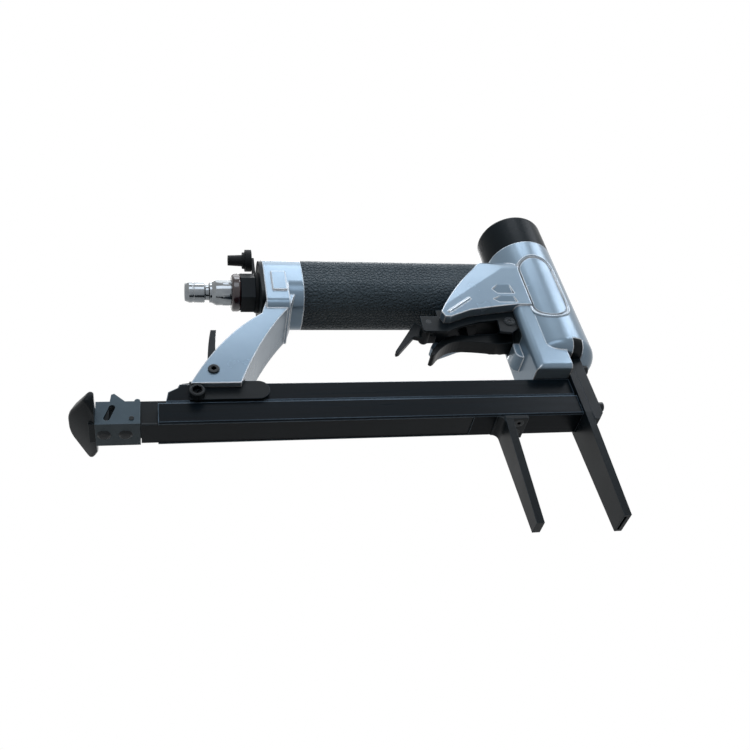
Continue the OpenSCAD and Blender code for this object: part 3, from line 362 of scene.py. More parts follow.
# Black-oxide alloy screws: the same blue-black with a finer sheen.
SCREW = Finish(
    name="black_oxide_screw", slot="black_screw", colour="#121a1e", shade="#0b1013", wear_and_highlight="#62707a",
    grain=Grain.SPRAYED, grain_mm=0.6, bump_mm=0.015, mottle_mm=5, roughness=0.3, swing=0.06,
    edge_mm=0.25, specular=0.2)
# Baked black enamel over a drawn steel channel: smooth, with long faint streaks, a soft sheen and a pale
# highlight painted along its edges.
ENAMEL = Finish(
    name="baked_black_enamel", slot="black_enamel", colour="#0c151b", shade="#070d12", wear_and_highlight="#7d93a6",
    grain=Grain.DRAWN, grain_mm=1.4, bump_mm=0.02, mottle_mm=3, roughness=0.32, swing=0.08,
    wear_and_highlight_share=0.9, edge_mm=0.9, specular=0.05, lay=ALONG_X)
# Sprayed black enamel on the pressed trigger: no streaks, a fine orange peel.
TRIGGER_ENAMEL = Finish(
    name="sprayed_black_enamel", slot="black_steel", colour="#0d1316", shade="#080c0e", wear_and_highlight="#37424a",
    grain=Grain.SPRAYED, grain_mm=1.8, bump_mm=0.03, mottle_mm=20, roughness=0.34, swing=0.05,
    edge_mm=0.6, specular=0.1)
# Grey-blue sprayed steel of the slide: satin and a little lighter than the magazine.
SLIDE_PAINT = Finish(
    name="grey_blue_sprayed_steel", slot="grey_steel", colour="#44545e", shade="#384750", wear_and_highlight="#8496a2",
    grain=Grain.SPRAYED, grain_mm=1.2, bump_mm=0.03, mottle_mm=18, roughness=0.44, swing=0.06,
    edge_mm=0.4, specular=0.15)
# Galvanised staple wire: pale and crisp, glued side by side.
STAPLE_WIRE = Finish(
    name="galvanised_wire", slot="staple_wire", colour="#b9bbba", shade="#a2a5a6", wear_and_highlight="#dcdedd",
    grain=Grain.DRAWN, grain_mm=0.6, bump_mm=0.02, mottle_mm=3, roughness=0.3, swing=0.06,
    metallic=1.0, wear_and_highlight_share=0.4, edge_mm=0.1, lay=ALONG_Y)
# Pebbled thermoplastic rubber: near black, each pebble a soft dot of light between dark creases.
GRIP_RUBBER = Finish(
    name="pebbled_grip_rubber", slot="grip_rubber", colour="#3d4950", shade="#323d44", wear_and_highlight="#4f5a61",
    grain=Grain.PEBBLED, grain_mm=2.2, bump_mm=0.5, mottle_mm=26, roughness=0.4, swing=0.05,
    wear_and_highlight_share=0.3, edge_mm=0.8, specular=0.08)
# Dark red polyurethane ring: glossy, brown-red in the shade.
RED_RING = Finish(
    name="dark_red_polyurethane", slot="red_rubber", colour="#2a0f12", shade="#1d0a0c", wear_and_highlight="#6a3030",
    grain=Grain.MOULDED, grain_mm=1.4, bump_mm=0.02, mottle_mm=8, roughness=0.18, swing=0.04,
    wear_and_highlight_share=0.4, edge_mm=0.4, coat=0.3)
# Nickel-chrome plating over turned steel: mirror bright with faint turning lines, with painted shade in its
# grooves.
CHROME = Finish(
    name="chrome_plated_steel", slot="chrome_plug", colour="#868a8c", shade="#6f7376", wear_and_highlight="#e4e6e7",
    grain=Grain.DRAWN, grain_mm=0.9, bump_mm=0.008, mottle_mm=10, roughness=0.12, swing=0.03,
    metallic=1.0, edge_mm=0.3, recess_shade=0.7)


def piece(name: str, bm: bmesh.types.BMesh, body: str, finish: Finish, *nodes: str) -> bpy.types.Object:
    """Turn a finished bmesh into a piece that rides on a body.

    Args:
        name: name of the piece.
        bm: its shape in metres, which is freed.
        body: body that it moves with.
        finish: material that it wears.
        nodes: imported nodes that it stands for.

    Returns:
        The new object.
    """
    bmesh.ops.remove_doubles(bm, verts=bm.verts, dist=SAME_POINT)
    bmesh.ops.recalc_face_normals(bm, faces=bm.faces)
    mesh = bpy.data.meshes.new(name)
    bm.to_mesh(mesh)
    bm.free()
    mesh.shade_smooth()
    mesh.set_sharp_from_angle(angle=SHARP_ANGLE)
    mesh.materials.append(finish.material())
    made = bpy.data.objects.new(name, mesh)
    bpy.context.scene.collection.objects.link(made)
    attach(made, body)
    if nodes:
        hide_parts(*nodes)
    LOG.info("%s rides on %s in %s", name, body, finish.name)
    return made


def turned(profile: Corners, steps: int = 64) -> bmesh.types.BMesh:
    """Spin a profile about the local Z axis, as on a lathe.

    Args:
        profile: radius and height of each corner, in millimetres.
        steps: faces around the turn.

    Returns:
        The turned shape.
    """
    bm = bmesh.new()
    verts = [bm.verts.new((radius * MM, 0.0, height * MM)) for radius, height in profile]
    edges = [bm.edges.new(pair) for pair in zip(verts, verts[1:])]
    bmesh.ops.spin(bm, geom=verts + edges, cent=(0, 0, 0), axis=(0, 0, 1), angle=2 * math.pi,
                   steps=steps, use_merge=True)
    bmesh.ops.remove_doubles(bm, verts=bm.verts, dist=SAME_POINT)
    return bm


def extrude(bm: bmesh.types.BMesh, faces: list[bmesh.types.BMFace], way: Triple) -> list[bmesh.types.BMFace]:
    """Draw faces out of a shape.

    Args:
        bm: shape that grows.
        faces: faces that are drawn out.
        way: how far and in which direction, in metres.

    Returns:
        The faces at the far end.
    """
    grown = bmesh.ops.extrude_face_region(bm, geom=faces)["geom"]
    bmesh.ops.translate(bm, verts=[g for g in grown if isinstance(g, bmesh.types.BMVert)], vec=way)
    return [g for g in grown if isinstance(g, bmesh.types.BMFace)]


def round_off(bm: bmesh.types.BMesh, edges: list[bmesh.types.BMEdge], size: float, steps: int) -> None:
    """Round edges off by a size in millimetres; one step makes a chamfer."""
    bmesh.ops.bevel(bm, geom=edges, offset=size * MM, affect="EDGES", segments=steps, profile=0.5,
                    material=-1)


def cut_off(bm: bmesh.types.BMesh, point: Triple, way: Triple) -> None:
    """Cut a shape off at a plane and close it.

    Args:
        bm: shape that is cut.
        point: point on the plane, in metres.
        way: direction of the side that goes.
    """
    bmesh.ops.bisect_plane(bm, geom=bm.verts[:] + bm.edges[:] + bm.faces[:], plane_co=point, plane_no=way,
                           clear_outer=True)
    bmesh.ops.holes_fill(bm, edges=[e for e in bm.edges if e.is_boundary], sides=0)


def merge(bm: bmesh.types.BMesh, part: bmesh.types.BMesh, place: Matrix) -> None:
    """Put one shape into another at its place.

    Args:
        bm: shape that grows.
        part: shape that is added, which is freed.
        place: where the part goes.
    """
    bmesh.ops.recalc_face_normals(part, faces=part.faces)
    bmesh.ops.transform(part, matrix=place, verts=part.verts)
    held = bpy.data.meshes.new("held")
    part.to_mesh(held)
    part.free()
    bm.from_mesh(held)
    bpy.data.meshes.remove(held)


def out_of_side(side: int, x: float, y: float, z: float) -> Matrix:
    """Return the place, in metres, of a shape whose local Z points straight out of one side of the tool."""
    return Matrix.Translation((x, side * y, z)) @ Matrix.Rotation(-side * math.pi / 2, 4, "X")


def working_spring(node: str) -> None:
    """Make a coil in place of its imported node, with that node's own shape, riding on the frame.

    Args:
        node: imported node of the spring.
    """
    bm = bmesh.new()
    bm.from_mesh(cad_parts[node].data)
    made = piece(f"{node}_coil", bm, "frame", SPRING, node)
    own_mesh(made)


@dataclass(frozen=True)
class SocketScrew:
    """Cap screw with a hexagon socket and, where it has teeth, a knurled head; sizes in millimetres."""

    head_r: float
    head_h: float
    shank_r: float
    shank_len: float
    socket_r: float
    socket_depth: float
    chamfer: float = 0.4
    knurl: float = 0.0
    shank_root: float = 0.2
    shank_tip: float = 0.4
    head_steps: int = 72
    tooth_steps: int = 3
    shank_steps: int = 32

    def shape(self) -> bmesh.types.BMesh:
        """Make the screw about local Z, with the underside of its head at zero.

        Returns:
            The screw's shape.
        """
        bm = bmesh.new()
        rim = bmesh.ops.create_circle(bm, cap_ends=True, segments=self.head_steps, radius=self.head_r * MM)
        for tooth in rim["verts"][::self.tooth_steps]:
            tooth.co *= 1 - self.knurl / self.head_r
        top = extrude(bm, bm.faces[:], (0, 0, (self.head_h - self.chamfer) * MM))
        bmesh.ops.inset_region(bm, faces=top, thickness=self.chamfer * MM, depth=self.chamfer * MM)
        bmesh.ops.inset_region(bm, faces=top, thickness=(self.head_r - self.chamfer - self.socket_r) * MM)
        half_flat = math.pi / 6
        for corner in top[0].verts:
            angle = math.atan2(corner.co.y, corner.co.x)
            off_flat = (angle + half_flat) % (2 * half_flat) - half_flat
            reach = self.socket_r * MM * math.cos(half_flat) / math.cos(off_flat)
            corner.co.x, corner.co.y = reach * math.cos(angle), reach * math.sin(angle)
        extrude(bm, top, (0, 0, -self.socket_depth * MM))
        bmesh.ops.delete(bm, geom=[face for face in top if face.is_valid], context="FACES_ONLY")
        shank = [(0, self.shank_root), (self.shank_r, self.shank_root),
                 (self.shank_r, self.shank_tip - self.shank_len),
                 (self.shank_r - self.shank_tip, -self.shank_len), (0, -self.shank_len)]
        merge(bm, turned(shank, self.shank_steps), Matrix())
        return bm


@dataclass
class SubAssembly:
    """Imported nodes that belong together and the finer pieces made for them; sizes in millimetres."""

    dressing: ClassVar[dict[str, Finish]] = {}

    def build(self) -> None:
        """Make the finer pieces; a plain sub-assembly has none."""

    def dress(self) -> None:
        """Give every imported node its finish."""
        for name, finish in self.dressing.items():
            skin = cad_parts[name].data.materials
            skin.clear()
            skin.append(finish.material())
            LOG.info("%s wears %s", name, finish.name)


@dataclass
class CastBody(SubAssembly):
    """Cast housing with its cap, grip sleeve and end plate; beads frame the oval panels on the head."""

    dressing: ClassVar[dict[str, Finish]] = {
        "main_housing": CASTING, "head_cap": CAP_COAT, "cap_gasket": SEAL, "grip_sleeve": GRIP_RUBBER,
        "end_plate": NYLON}
    head_r: float = HEAD_R
    panel_x: float = -1.5
    panel_z: float = 153.0
    panel_w: float = 21.0
    panel_h: float = 51.0
    bead_w: float = 2.4
    bead_rise: float = 0.75
    flank_share: float = 0.75
    bead_root: float = 0.3
    bead_steps: int = 96

    def build(self) -> None:
        """Make the raised bead around the panel on each side of the head."""
        bm = bmesh.new()
        for side in SIDES:
            merge(bm, self._bead(side), Matrix())
        piece("panel_beads", bm, "frame", CASTING)

    def _bead(self, side: int) -> bmesh.types.BMesh:
        """Make one bead: a long oval ring, domed and laid on the head's curve.

        Args:
            side: -1 for the right side, 1 for the left.

        Returns:
            The bead's shape.
        """
        bm = bmesh.new()
        outer = (self.panel_w / 2 + self.bead_w) * MM
        straight = (self.panel_h - self.panel_w) / 2 * MM
        rim = bmesh.ops.create_circle(bm, cap_ends=True, segments=self.bead_steps, radius=outer)
        for vert in rim["verts"]:
            vert.co.y += math.copysign(straight, vert.co.y)
        flank = self.flank_share * self.bead_rise
        levels = (-self.bead_root, 0.0, flank, self.bead_rise, flank, 0.0, -self.bead_root)
        step = self.bead_w * MM / (len(levels) - 1)
        for _ in levels[1:]:
            bmesh.ops.inset_region(bm, faces=[self._middle(bm)], thickness=step, use_boundary=True,
                                   use_even_offset=True)
        bmesh.ops.delete(bm, geom=[self._middle(bm)], context="FACES_ONLY")
        bmesh.ops.bridge_loops(bm, edges=[e for e in bm.edges if e.is_boundary])
        for vert in bm.verts:
            across = math.hypot(vert.co.x, max(abs(vert.co.y) - straight, 0.0))
            radius = (self.head_r + levels[round((outer - across) / step)]) * MM
            x, z = self.panel_x * MM + vert.co.x, self.panel_z * MM + vert.co.y
            vert.co = (x, side * math.sqrt(max(radius ** 2 - x ** 2, 0.0)), z)
        return bm

    @staticmethod
    def _middle(bm: bmesh.types.BMesh) -> bmesh.types.BMFace:
        """Return the face with the most corners, which is the inside of the ring."""
        return max(bm.faces, key=lambda face: len(face.verts))


@dataclass
class AirInlet(SubAssembly):
    """Hexagon fitting, red ring and plated plug at the rear, with the dust plug on its strap."""

    dressing: ClassVar[dict[str, Finish]] = {
        "inlet_fitting": BLACK_STEEL, "collar_ring": RED_RING, "air_plug": CHROME, "dust_plug": SEAL,
        "dust_strap": SEAL}
    hexagon_r: float = 7.8
    hexagon_len: float = 4.4
    hexagon_start: float = 0.6
    hexagon_edge: float = 0.4
    profile_steps: int = 96
    profile: Corners = (
        (3.6, -9.5), (6.3, -9.5), (6.3, 0.0),  # thread inside the fitting
        (7.3, 0.0), (7.3, 8.6), (7.0, 9.1), (6.1, 10.6), (5.9, 10.9),  # body and its cone
        (5.9, 12.0), (5.6, 12.3), (4.5, 12.7), (4.5, 14.4), (5.6, 14.9), (5.9, 15.2),  # lock groove
        (5.9, 20.6), (5.65, 20.8), (5.65, 21.3), (5.9, 21.5),  # turned line round the nose
        (5.9, 23.6), (5.6, 24.0), (5.0, 25.8), (4.7, 26.0),  # tapered tip
        (3.9, 26.0), (3.6, 25.7), (3.6, -9.5))  # rim and wall of the bore

    def build(self) -> None:
        """Make the quick plug: a turned nose with its lock groove, and a hexagon for the spanner."""
        lo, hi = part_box("air_plug")
        face = lo.x + max(height for _, height in self.profile) * MM
        place = Matrix.Translation((face, 0, (lo.z + hi.z) / 2)) @ Matrix.Rotation(-math.pi / 2, 4, "Y")
        bm = bmesh.new()
        merge(bm, turned(self.profile, self.profile_steps), place)
        nut = bmesh.new()
        middle = Matrix.Translation((0, 0, (self.hexagon_len / 2 + self.hexagon_start) * MM))
        bmesh.ops.create_cone(nut, cap_ends=True, segments=6, radius1=self.hexagon_r * MM,
                              radius2=self.hexagon_r * MM, depth=self.hexagon_len * MM, matrix=middle)
        round_off(nut, nut.edges[:], self.hexagon_edge, steps=2)
        merge(bm, nut, place)
        piece("plated_quick_plug", bm, "frame", CHROME, "air_plug")


@dataclass
class AirMotor(SubAssembly):
    """Cylinder, piston, driver and head valve inside the head."""

    dressing: ClassVar[dict[str, Finish]] = {
        "cylinder_liner": STEEL, "bumper": SEAL, "head_valve": NYLON, "head_valve_spring": SPRING,
        "piston": STEEL, "piston_ring": SEAL, "driver_blade": STEEL, "driver_pin": STEEL}

    def build(self) -> None:
        """Make the spring above the head valve."""
        working_spring("head_valve_spring")


@dataclass
class TriggerGroup(SubAssembly):
    """Bracket, trigger, safety lever and the valve that they work; the trigger's pin has ringed heads."""

    dressing: ClassVar[dict[str, Finish]] = {
        "trigger_bracket": BLACK_STEEL, "trigger": TRIGGER_ENAMEL, "trigger_pin": SCREW,
        "safety_lever": BLACK_STEEL, "safety_pin": SCREW, "valve_bushing": NYLON, "valve_seals": SEAL,
        "valve_stem": SCREW, "valve_spring": SPRING}
    pin_r: float = 2.0
    head_r: float = 2.9
    head_h: float = 0.8
    head_edge: float = 0.25
    groove_outer: float = 2.2
    groove_inner: float = 1.6
    groove_slope: float = 0.15
    groove_depth: float = 0.3
    dimple_r: float = 1.0
    dimple_slope: float = 0.2
    dimple_wall: float = 0.5
    dimple_depth: float = 0.6
    ring_r: float = 3.4
    ring_h: float = 0.45
    ring_gap: float = 0.05
    ring_edge: float = 0.12

    def build(self) -> None:
        """Make the valve's spring, and the trigger's pin: grooved, dimpled heads with a retaining ring."""
        working_spring("valve_spring")
        lo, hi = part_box("trigger_pin")
        half = hi.y - self.head_h * MM
        bm = bmesh.new()
        for side in SIDES:
            place = out_of_side(side, (lo.x + hi.x) / 2, half, (lo.z + hi.z) / 2)
            merge(bm, turned(self._head(half / MM)), place)
            merge(bm, turned(self._ring()), place)
        piece("ringed_trigger_pin", bm, "frame", SCREW, "trigger_pin")

    def _head(self, reach: float) -> Corners:
        """Give the profile of one half of the pin with its head: a dimple in a groove.

        Args:
            reach: length of the half below its head.

        Returns:
            Radius and height of each corner.
        """
        top = self.head_h
        return [(0, -reach), (self.pin_r, -reach), (self.pin_r, 0), (self.head_r, 0),
                (self.head_r, top - self.head_edge), (self.head_r - self.head_edge, top),
                (self.groove_outer, top), (self.groove_outer - self.groove_slope, top - self.groove_depth),
                (self.groove_inner + self.groove_slope, top - self.groove_depth), (self.groove_inner, top),
                (self.dimple_r, top), (self.dimple_r - self.dimple_slope, top - self.dimple_wall),
                (0, top - self.dimple_depth)]

    def _ring(self) -> Corners:
        """Give the profile of the retaining ring around a head.

        Returns:
            Radius and height of each corner.
        """
        inner = self.head_r + self.ring_gap
        return [(inner, 0), (self.ring_r, 0), (self.ring_r, self.ring_h - self.ring_edge),
                (self.ring_r - self.ring_edge, self.ring_h), (inner, self.ring_h), (inner, 0)]


@dataclass
class Nose(SubAssembly):
    """Long nose leg with its cover and screws; the cover's cross-head fills the slot in the head's rim."""

    dressing: ClassVar[dict[str, Finish]] = {
        "nose_leg": BLACK_STEEL, "nose_cover": BLACK_STEEL, "nose_screws": SCREW}
    head_r: float = HEAD_R
    head_round: float = 6.5
    rim_z: float = 103.0
    slot_h: float = 6.3
    slot_back: float = 2.7
    slot_front: float = 8.5
    sunk: float = 0.25
    round_steps: int = 8
    turn_steps: int = 96

    def build(self) -> None:
        """Make the cross-head: a slice of the head's rounded foot between the slot's walls."""
        inner, middle = self.head_r - self.head_round, self.rim_z + self.head_round
        rim = [(0.0, self.rim_z), (inner, self.rim_z)]
        for step in range(1, self.round_steps + 1):
            angle = math.pi / 2 * step / self.round_steps
            rim.append((inner + self.head_round * math.sin(angle),
                        middle - self.head_round * math.cos(angle)))
        rim.append((self.sunk, middle))
        bm = turned([(max(r - self.sunk, 0.0), z + self.sunk) for r, z in rim], self.turn_steps)
        for x, way in ((self.slot_back, -1), (self.slot_front, 1)):
            cut_off(bm, (x * MM, 0, 0), (way, 0, 0))
        cut_off(bm, (0, 0, (self.rim_z + self.slot_h) * MM), (0, 0, 1))
        piece("cover_cross_head", bm, "frame", BLACK_STEEL)


@dataclass
class Magazine(SubAssembly):
    """Magazine with its pull-out slide, the staples on it, the foot and what hangs it on the arm."""

    dressing: ClassVar[dict[str, Finish]] = {
        "magazine_body": ENAMEL, "slide_rail": BLACK_STEEL, "slide_block": SLIDE_PAINT, "slide_rivets": SCREW,
        "latch_pin": SCREW, "pull_plate": BLACK_STEEL, "pusher": NYLON, "feed_spring": SPRING,
        "staple_strip": STAPLE_WIRE, "rear_foot": BLACK_STEEL, "foot_screws": SCREW,
        "hanger_bracket": BLACK_STEEL, "bracket_screws": SCREW, "arm_pin": SCREW,
        "release_lever": BLACK_STEEL}
    hanger_screw: SocketScrew = SocketScrew(
        head_r=3.9, head_h=4.0, shank_r=2.0, shank_len=4.0, socket_r=2.2, socket_depth=2.2, chamfer=0.5,
        knurl=0.22)
    arm_screw: SocketScrew = SocketScrew(
        head_r=2.9, head_h=1.0, shank_r=2.0, shank_len=13.9, socket_r=1.5, socket_depth=0.8, chamfer=0.25)
    wire: float = 0.7
    pitch: float = 0.74
    crown_edge: float = 0.18
    tongue_len: float = 4.6
    tongue_lift: float = 2.5
    tongue_drop: float = 2.4
    tongue_lap: float = 0.4
    tongue_edge: float = 0.3
    pull_half: Corners = ((0.0, 6.8), (10.7, 24.0), (18.3, 7.2))
    pull_t: float = 7.0
    pull_lean: float = 27.0
    pull_lift: float = 8.0
    pull_back: float = 13.1
    pull_corner: float = 4.0
    pull_rim: float = 1.4
    corner_steps: int = 5
    rim_steps: int = 3
    tab_len: float = 4.6
    tab_inset: float = 2.4
    tab_h: float = 10.1
    tab_back: float = 0.7
    tab_lift: float = 6.25

    def build(self) -> None:
        """Make the socket screws, the stick of staples, the rail's tongue and the rounded pull plate."""
        self._screws("knurled_hanger_screws", "bracket_screws", self.hanger_screw)
        self._screws("socketed_arm_pin", "arm_pin", self.arm_screw)
        self._staples()
        self._tongue()
        self._pull_plate()

    @staticmethod
    def _screws(name: str, node: str, screw: SocketScrew) -> None:
        """Make a socket screw out of each side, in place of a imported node.

        Args:
            name: name of the piece.
            node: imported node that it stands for.
            screw: sizes of the screw.
        """
        lo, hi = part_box(node)
        bm = bmesh.new()
        for side in SIDES:
            place = out_of_side(side, (lo.x + hi.x) / 2, hi.y - screw.head_h * MM, (lo.z + hi.z) / 2)
            merge(bm, screw.shape(), place)
        piece(name, bm, "frame", SCREW, node)

    def _staples(self) -> None:
        """Make the stick: one bent staple after another along the slide, a hair apart."""
        lo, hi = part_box("staple_strip")
        half, wire = hi.y, self.wire * MM
        corners = [(-half, lo.z), (-half, hi.z), (half, hi.z), (half, lo.z), (half - wire, lo.z),
                   (half - wire, hi.z - wire), (wire - half, hi.z - wire), (wire - half, lo.z)]
        bm = bmesh.new()
        outline = bm.faces.new([bm.verts.new((lo.x, y, z)) for y, z in corners])
        extrude(bm, [outline], (wire, 0, 0))
        top = [e for e in bm.edges if min(v.co.z for v in e.verts) > hi.z - SAME_POINT]
        crown = [e for e in top if abs(e.verts[0].co.x - e.verts[1].co.x) < SAME_POINT]
        round_off(bm, crown, self.crown_edge, steps=1)
        first = bm.verts[:] + bm.edges[:] + bm.faces[:]
        count = int((hi.x - lo.x) / (self.pitch * MM))
        step = (hi.x - lo.x - wire) / max(count - 1, 1)
        for number in range(1, count):
            copy = bmesh.ops.duplicate(bm, geom=first)["geom"]
            bmesh.ops.translate(bm, verts=[g for g in copy if isinstance(g, bmesh.types.BMVert)],
                                vec=(number * step, 0, 0))
        piece("staple_stick", bm, "slide", STAPLE_WIRE, "staple_strip")

    def _tongue(self) -> None:
        """Make the rail's tongue between the walls of the slide block, above the rivets."""
        lo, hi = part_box("slide_rail")
        height = hi.z - lo.z - (self.tongue_lift + self.tongue_drop) * MM
        size = Vector((self.tongue_len * MM, hi.y - lo.y, height))
        middle = Vector((lo.x - size.x / 2 + self.tongue_lap * MM, 0.0,
                         lo.z + self.tongue_lift * MM + size.z / 2))
        bm = bmesh.new()
        place = Matrix.Translation(middle) @ Matrix.Diagonal(size).to_4x4()
        bmesh.ops.create_cube(bm, size=1.0, matrix=place)
        round_off(bm, bm.edges[:], self.tongue_edge, steps=2)
        piece("rail_tongue", bm, "slide", BLACK_STEEL)

    def _pull_plate(self) -> None:
        """Make the leaning pull plate with its corners and rims rounded, and the tab that holds it."""
        lo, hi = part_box("slide_block")
        outline = list(self.pull_half) + [(x, -y) for x, y in reversed(self.pull_half)]
        bm = bmesh.new()
        face = bm.faces.new([bm.verts.new((x * MM, y * MM, 0.0)) for x, y in outline])
        extrude(bm, [face], (0, 0, self.pull_t * MM))
        roundings = ((True, self.pull_corner, self.corner_steps), (False, self.pull_rim, self.rim_steps))
        for upright, size, steps in roundings:
            edges = [e for e in bm.edges if (abs(e.verts[0].co.z - e.verts[1].co.z) > MM) == upright]
            round_off(bm, edges, size, steps)
        place = Matrix.Translation((lo.x - self.pull_back * MM, 0, lo.z + self.pull_lift * MM))
        lean = Matrix.Rotation(math.radians(self.pull_lean), 4, "Y")
        bmesh.ops.transform(bm, matrix=place @ lean, verts=bm.verts)
        cut_off(bm, (lo.x, 0, 0), (1, 0, 0))
        tab = bmesh.new()
        tab_size = Vector((self.tab_len * MM, hi.y - lo.y - self.tab_inset * MM, self.tab_h * MM))
        bmesh.ops.create_cube(tab, size=1.0, matrix=Matrix.Diagonal(tab_size).to_4x4())
        merge(bm, tab, Matrix.Translation((lo.x - self.tab_back * MM, 0, lo.z + self.tab_lift * MM)))
        piece("rounded_pull_plate", bm, "slide", BLACK_STEEL, "pull_plate")


@dataclass
class Camera:
    """The viewpoint of the photograph: low in front of the right side, looking up at the underside."""

    place_mm: Triple = (-223.4, -353.7, -217.6)
    right: Triple = (0.9725, -0.1644, -0.1651)
    down: Triple = (-0.0121, 0.6721, -0.7404)
    lens_mm: float = 43.2
    sensor_mm: float = 36.0
    nearest: float = 0.01
    farthest: float = 20.0

    def build(self) -> None:
        """Make the camera and hand it to the scene."""
        right = Vector(self.right).normalized()
        up = -Vector(self.down)
        up = (up - right * up.dot(right)).normalized()
        lens = bpy.data.cameras.new("photo_camera")
        lens.lens = self.lens_mm
        lens.sensor_width = self.sensor_mm
        lens.clip_start = self.nearest
        lens.clip_end = self.farthest
        eye = bpy.data.objects.new("photo_camera", lens)
        turn = Matrix((right, up, right.cross(up))).transposed().to_4x4()
        eye.matrix_world = Matrix.Translation(Vector(self.place_mm) * MM) @ turn
        bpy.context.scene.collection.objects.link(eye)
        bpy.context.scene.camera = eye


@dataclass(frozen=True)
class Softbox:
    """One studio lamp aimed at the middle of the tool; place and size in metres."""

    name: str
    place: Triple
    width: float
    height: float
    watts: float
    colour: str


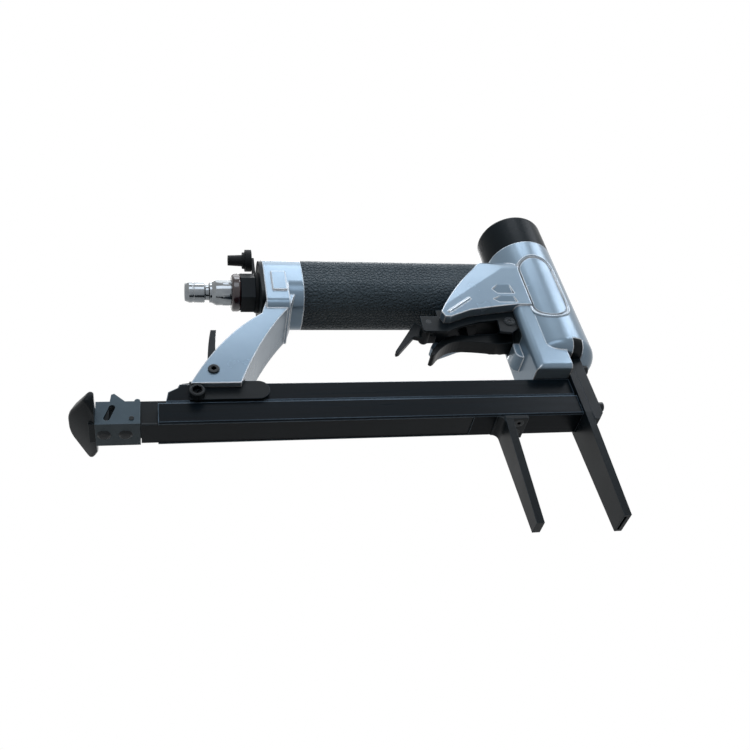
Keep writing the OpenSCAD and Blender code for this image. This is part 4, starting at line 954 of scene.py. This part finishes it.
@dataclass
class Studio:
    """Pale floor, white surround and soft lamps; sizes in metres."""

    floor_size: float = 6.0
    floor_gap: float = 0.0002
    floor_colour: str = "#eeeeee"
    floor_bounce: str = "#8a7d72"
    fade_from: float = 0.35
    fade_to: float = 1.1
    contact: float = 0.0015
    surround: str = "#ffffff"
    fill: float = 0.3
    aim: Triple = (-0.12, 0.0, 0.11)
    lamps: tuple[Softbox, ...] = (
        Softbox(name="ceiling_softbox", place=(-0.05, -0.4, 1.3), width=1.0, height=1.0,
                watts=7.0, colour="#f6faff"),
        Softbox(name="front_softbox", place=(0.79, -0.54, 0.97), width=0.58, height=0.34,
                watts=3.6, colour="#f0f6ff"),
        Softbox(name="near_softbox", place=(0.06, -0.81, 1.15), width=0.5, height=0.3,
                watts=2.7, colour="#f0f6ff"),
        Softbox(name="foot_softbox", place=(0.55, -0.88, 0.79), width=0.22, height=0.14,
                watts=1.2, colour="#f0f6ff"),
        Softbox(name="far_softbox", place=(0.08, 0.65, 1.22), width=0.7, height=0.7,
                watts=7.0, colour="#ffffff"),
        Softbox(name="low_softbox", place=(-0.3, -1.05, 0.2), width=0.8, height=0.5,
                watts=4.0, colour="#eaf3ff"),
    )

    def build(self) -> None:
        """Make the world, the floor and the lamps."""
        scene = bpy.context.scene
        scene.view_settings.view_transform = "Standard"
        self._world(scene)
        self._floor()
        for lamp in self.lamps:
            self._lamp(lamp)

    @staticmethod
    def _seen(tree: bpy.types.NodeTree) -> bpy.types.Node:
        """Add a number that is one for the eye, for gloss and through glass, and zero for plain light.

        Args:
            tree: node tree that takes the nodes.

        Returns:
            The node that gives the number.
        """
        path = add(tree, "ShaderNodeLightPath")
        shiny = add(tree, "ShaderNodeMath", {0: (path, "Is Glossy Ray"), 1: (path, "Is Transmission Ray")},
                    operation="MAXIMUM")
        return add(tree, "ShaderNodeMath", {0: (path, "Is Camera Ray"), 1: (shiny, "Value")},
                   operation="MAXIMUM")

    def _world(self, scene: bpy.types.Scene) -> None:
        """Make the surround: white for the eye and for gloss, a plain fill for the rest.

        Args:
            scene: scene that takes the world.
        """
        world = bpy.data.worlds.new("studio_surround")
        world.use_nodes = True
        tree = world.node_tree
        tree.nodes.clear()
        level = add(tree, "ShaderNodeMapRange", {
            "Value": (self._seen(tree), "Value"), "To Min": self.fill, "To Max": 1.0})
        sky = add(tree, "ShaderNodeBackground", {
            "Color": linear(self.surround), "Strength": (level, "Result")})
        add(tree, "ShaderNodeOutputWorld", {"Surface": (sky, "Background")})
        scene.world = world

    def _floor(self) -> None:
        """Make the floor, just under the standing tips."""
        bm = bmesh.new()
        bmesh.ops.create_grid(bm, x_segments=1, y_segments=1, size=self.floor_size / 2)
        bmesh.ops.translate(bm, verts=bm.verts, vec=(0.0, 0.0, CAD_BOX[0].z - self.floor_gap))
        mesh = bpy.data.meshes.new("pale_floor")
        bm.to_mesh(mesh)
        bm.free()
        mesh.materials.append(self._floor_paint())
        floor = bpy.data.objects.new("pale_floor", mesh)
        bpy.context.scene.collection.objects.link(floor)

    def _floor_paint(self) -> bpy.types.Material:
        """Make a pale matt floor that fades into the surround, one-sided, so the low camera sees through it.

        It also lets light in to the faces that stand on it, which the camera sees from below.

        Returns:
            The floor's material.
        """
        made = bpy.data.materials.new("matt_studio_floor")
        made.use_nodes = True
        tree = made.node_tree
        tree.nodes.clear()
        side = add(tree, "ShaderNodeNewGeometry")
        tone = add(tree, "ShaderNodeMix", {
            "Factor": (self._seen(tree), "Value"), COLOUR_A: linear(self.floor_bounce),
            COLOUR_B: linear(self.floor_colour)}, data_type="RGBA")
        matt = add(tree, "ShaderNodeBsdfDiffuse", {"Color": (tone, MIXED)})
        clear = add(tree, "ShaderNodeBsdfTransparent")
        spot = add(tree, "ShaderNodeTexCoord")
        reach = add(tree, "ShaderNodeVectorMath", {0: (spot, "Object")}, operation="LENGTH")
        fade = add(tree, "ShaderNodeMapRange", {
            "Value": (reach, "Value"), "From Min": self.fade_from, "From Max": self.fade_to},
            interpolation_type="SMOOTHSTEP")
        path = add(tree, "ShaderNodeLightPath")
        under = add(tree, "ShaderNodeMath", {0: (path, "Ray Length"), 1: self.contact}, operation="LESS_THAN")
        away = add(tree, "ShaderNodeMath", {0: (fade, "Result"), 1: (under, "Value")}, operation="MAXIMUM")
        gone = add(tree, "ShaderNodeMath", {0: (side, "Backfacing"), 1: (away, "Value")}, operation="MAXIMUM")
        one_sided = add(tree, "ShaderNodeMixShader", {0: (gone, "Value"), 1: (matt, 0), 2: (clear, 0)})
        add(tree, "ShaderNodeOutputMaterial", {"Surface": (one_sided, 0)})
        return made

    def _lamp(self, box: Softbox) -> None:
        """Make one area lamp.

        Args:
            box: place, size, power and colour of the lamp.
        """
        lamp = bpy.data.lights.new(box.name, "AREA")
        lamp.shape = "RECTANGLE"
        lamp.size = box.width
        lamp.size_y = box.height
        lamp.energy = box.watts
        lamp.color = linear(box.colour)[:3]
        holder = bpy.data.objects.new(box.name, lamp)
        holder.location = box.place
        holder.rotation_mode = "QUATERNION"
        holder.rotation_quaternion = (Vector(self.aim) - Vector(box.place)).to_track_quat("-Z", "Y")
        bpy.context.scene.collection.objects.link(holder)


@dataclass
class Stapler:
    """The whole tool, sub-assembly by sub-assembly."""

    groups: tuple[SubAssembly, ...] = field(default_factory=lambda: (
        CastBody(), AirMotor(), AirInlet(), TriggerGroup(), Nose(), Magazine()))

    def build(self) -> None:
        """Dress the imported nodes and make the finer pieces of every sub-assembly."""
        for group in self.groups:
            group.dress()
            group.build()


def main() -> None:
    """Build the scene in order and report each piece."""
    logging.basicConfig(level=logging.INFO, format="%(name)s: %(message)s")
    Camera().build()
    Studio().build()
    Stapler().build()


if __name__ == "__main__":
    main()
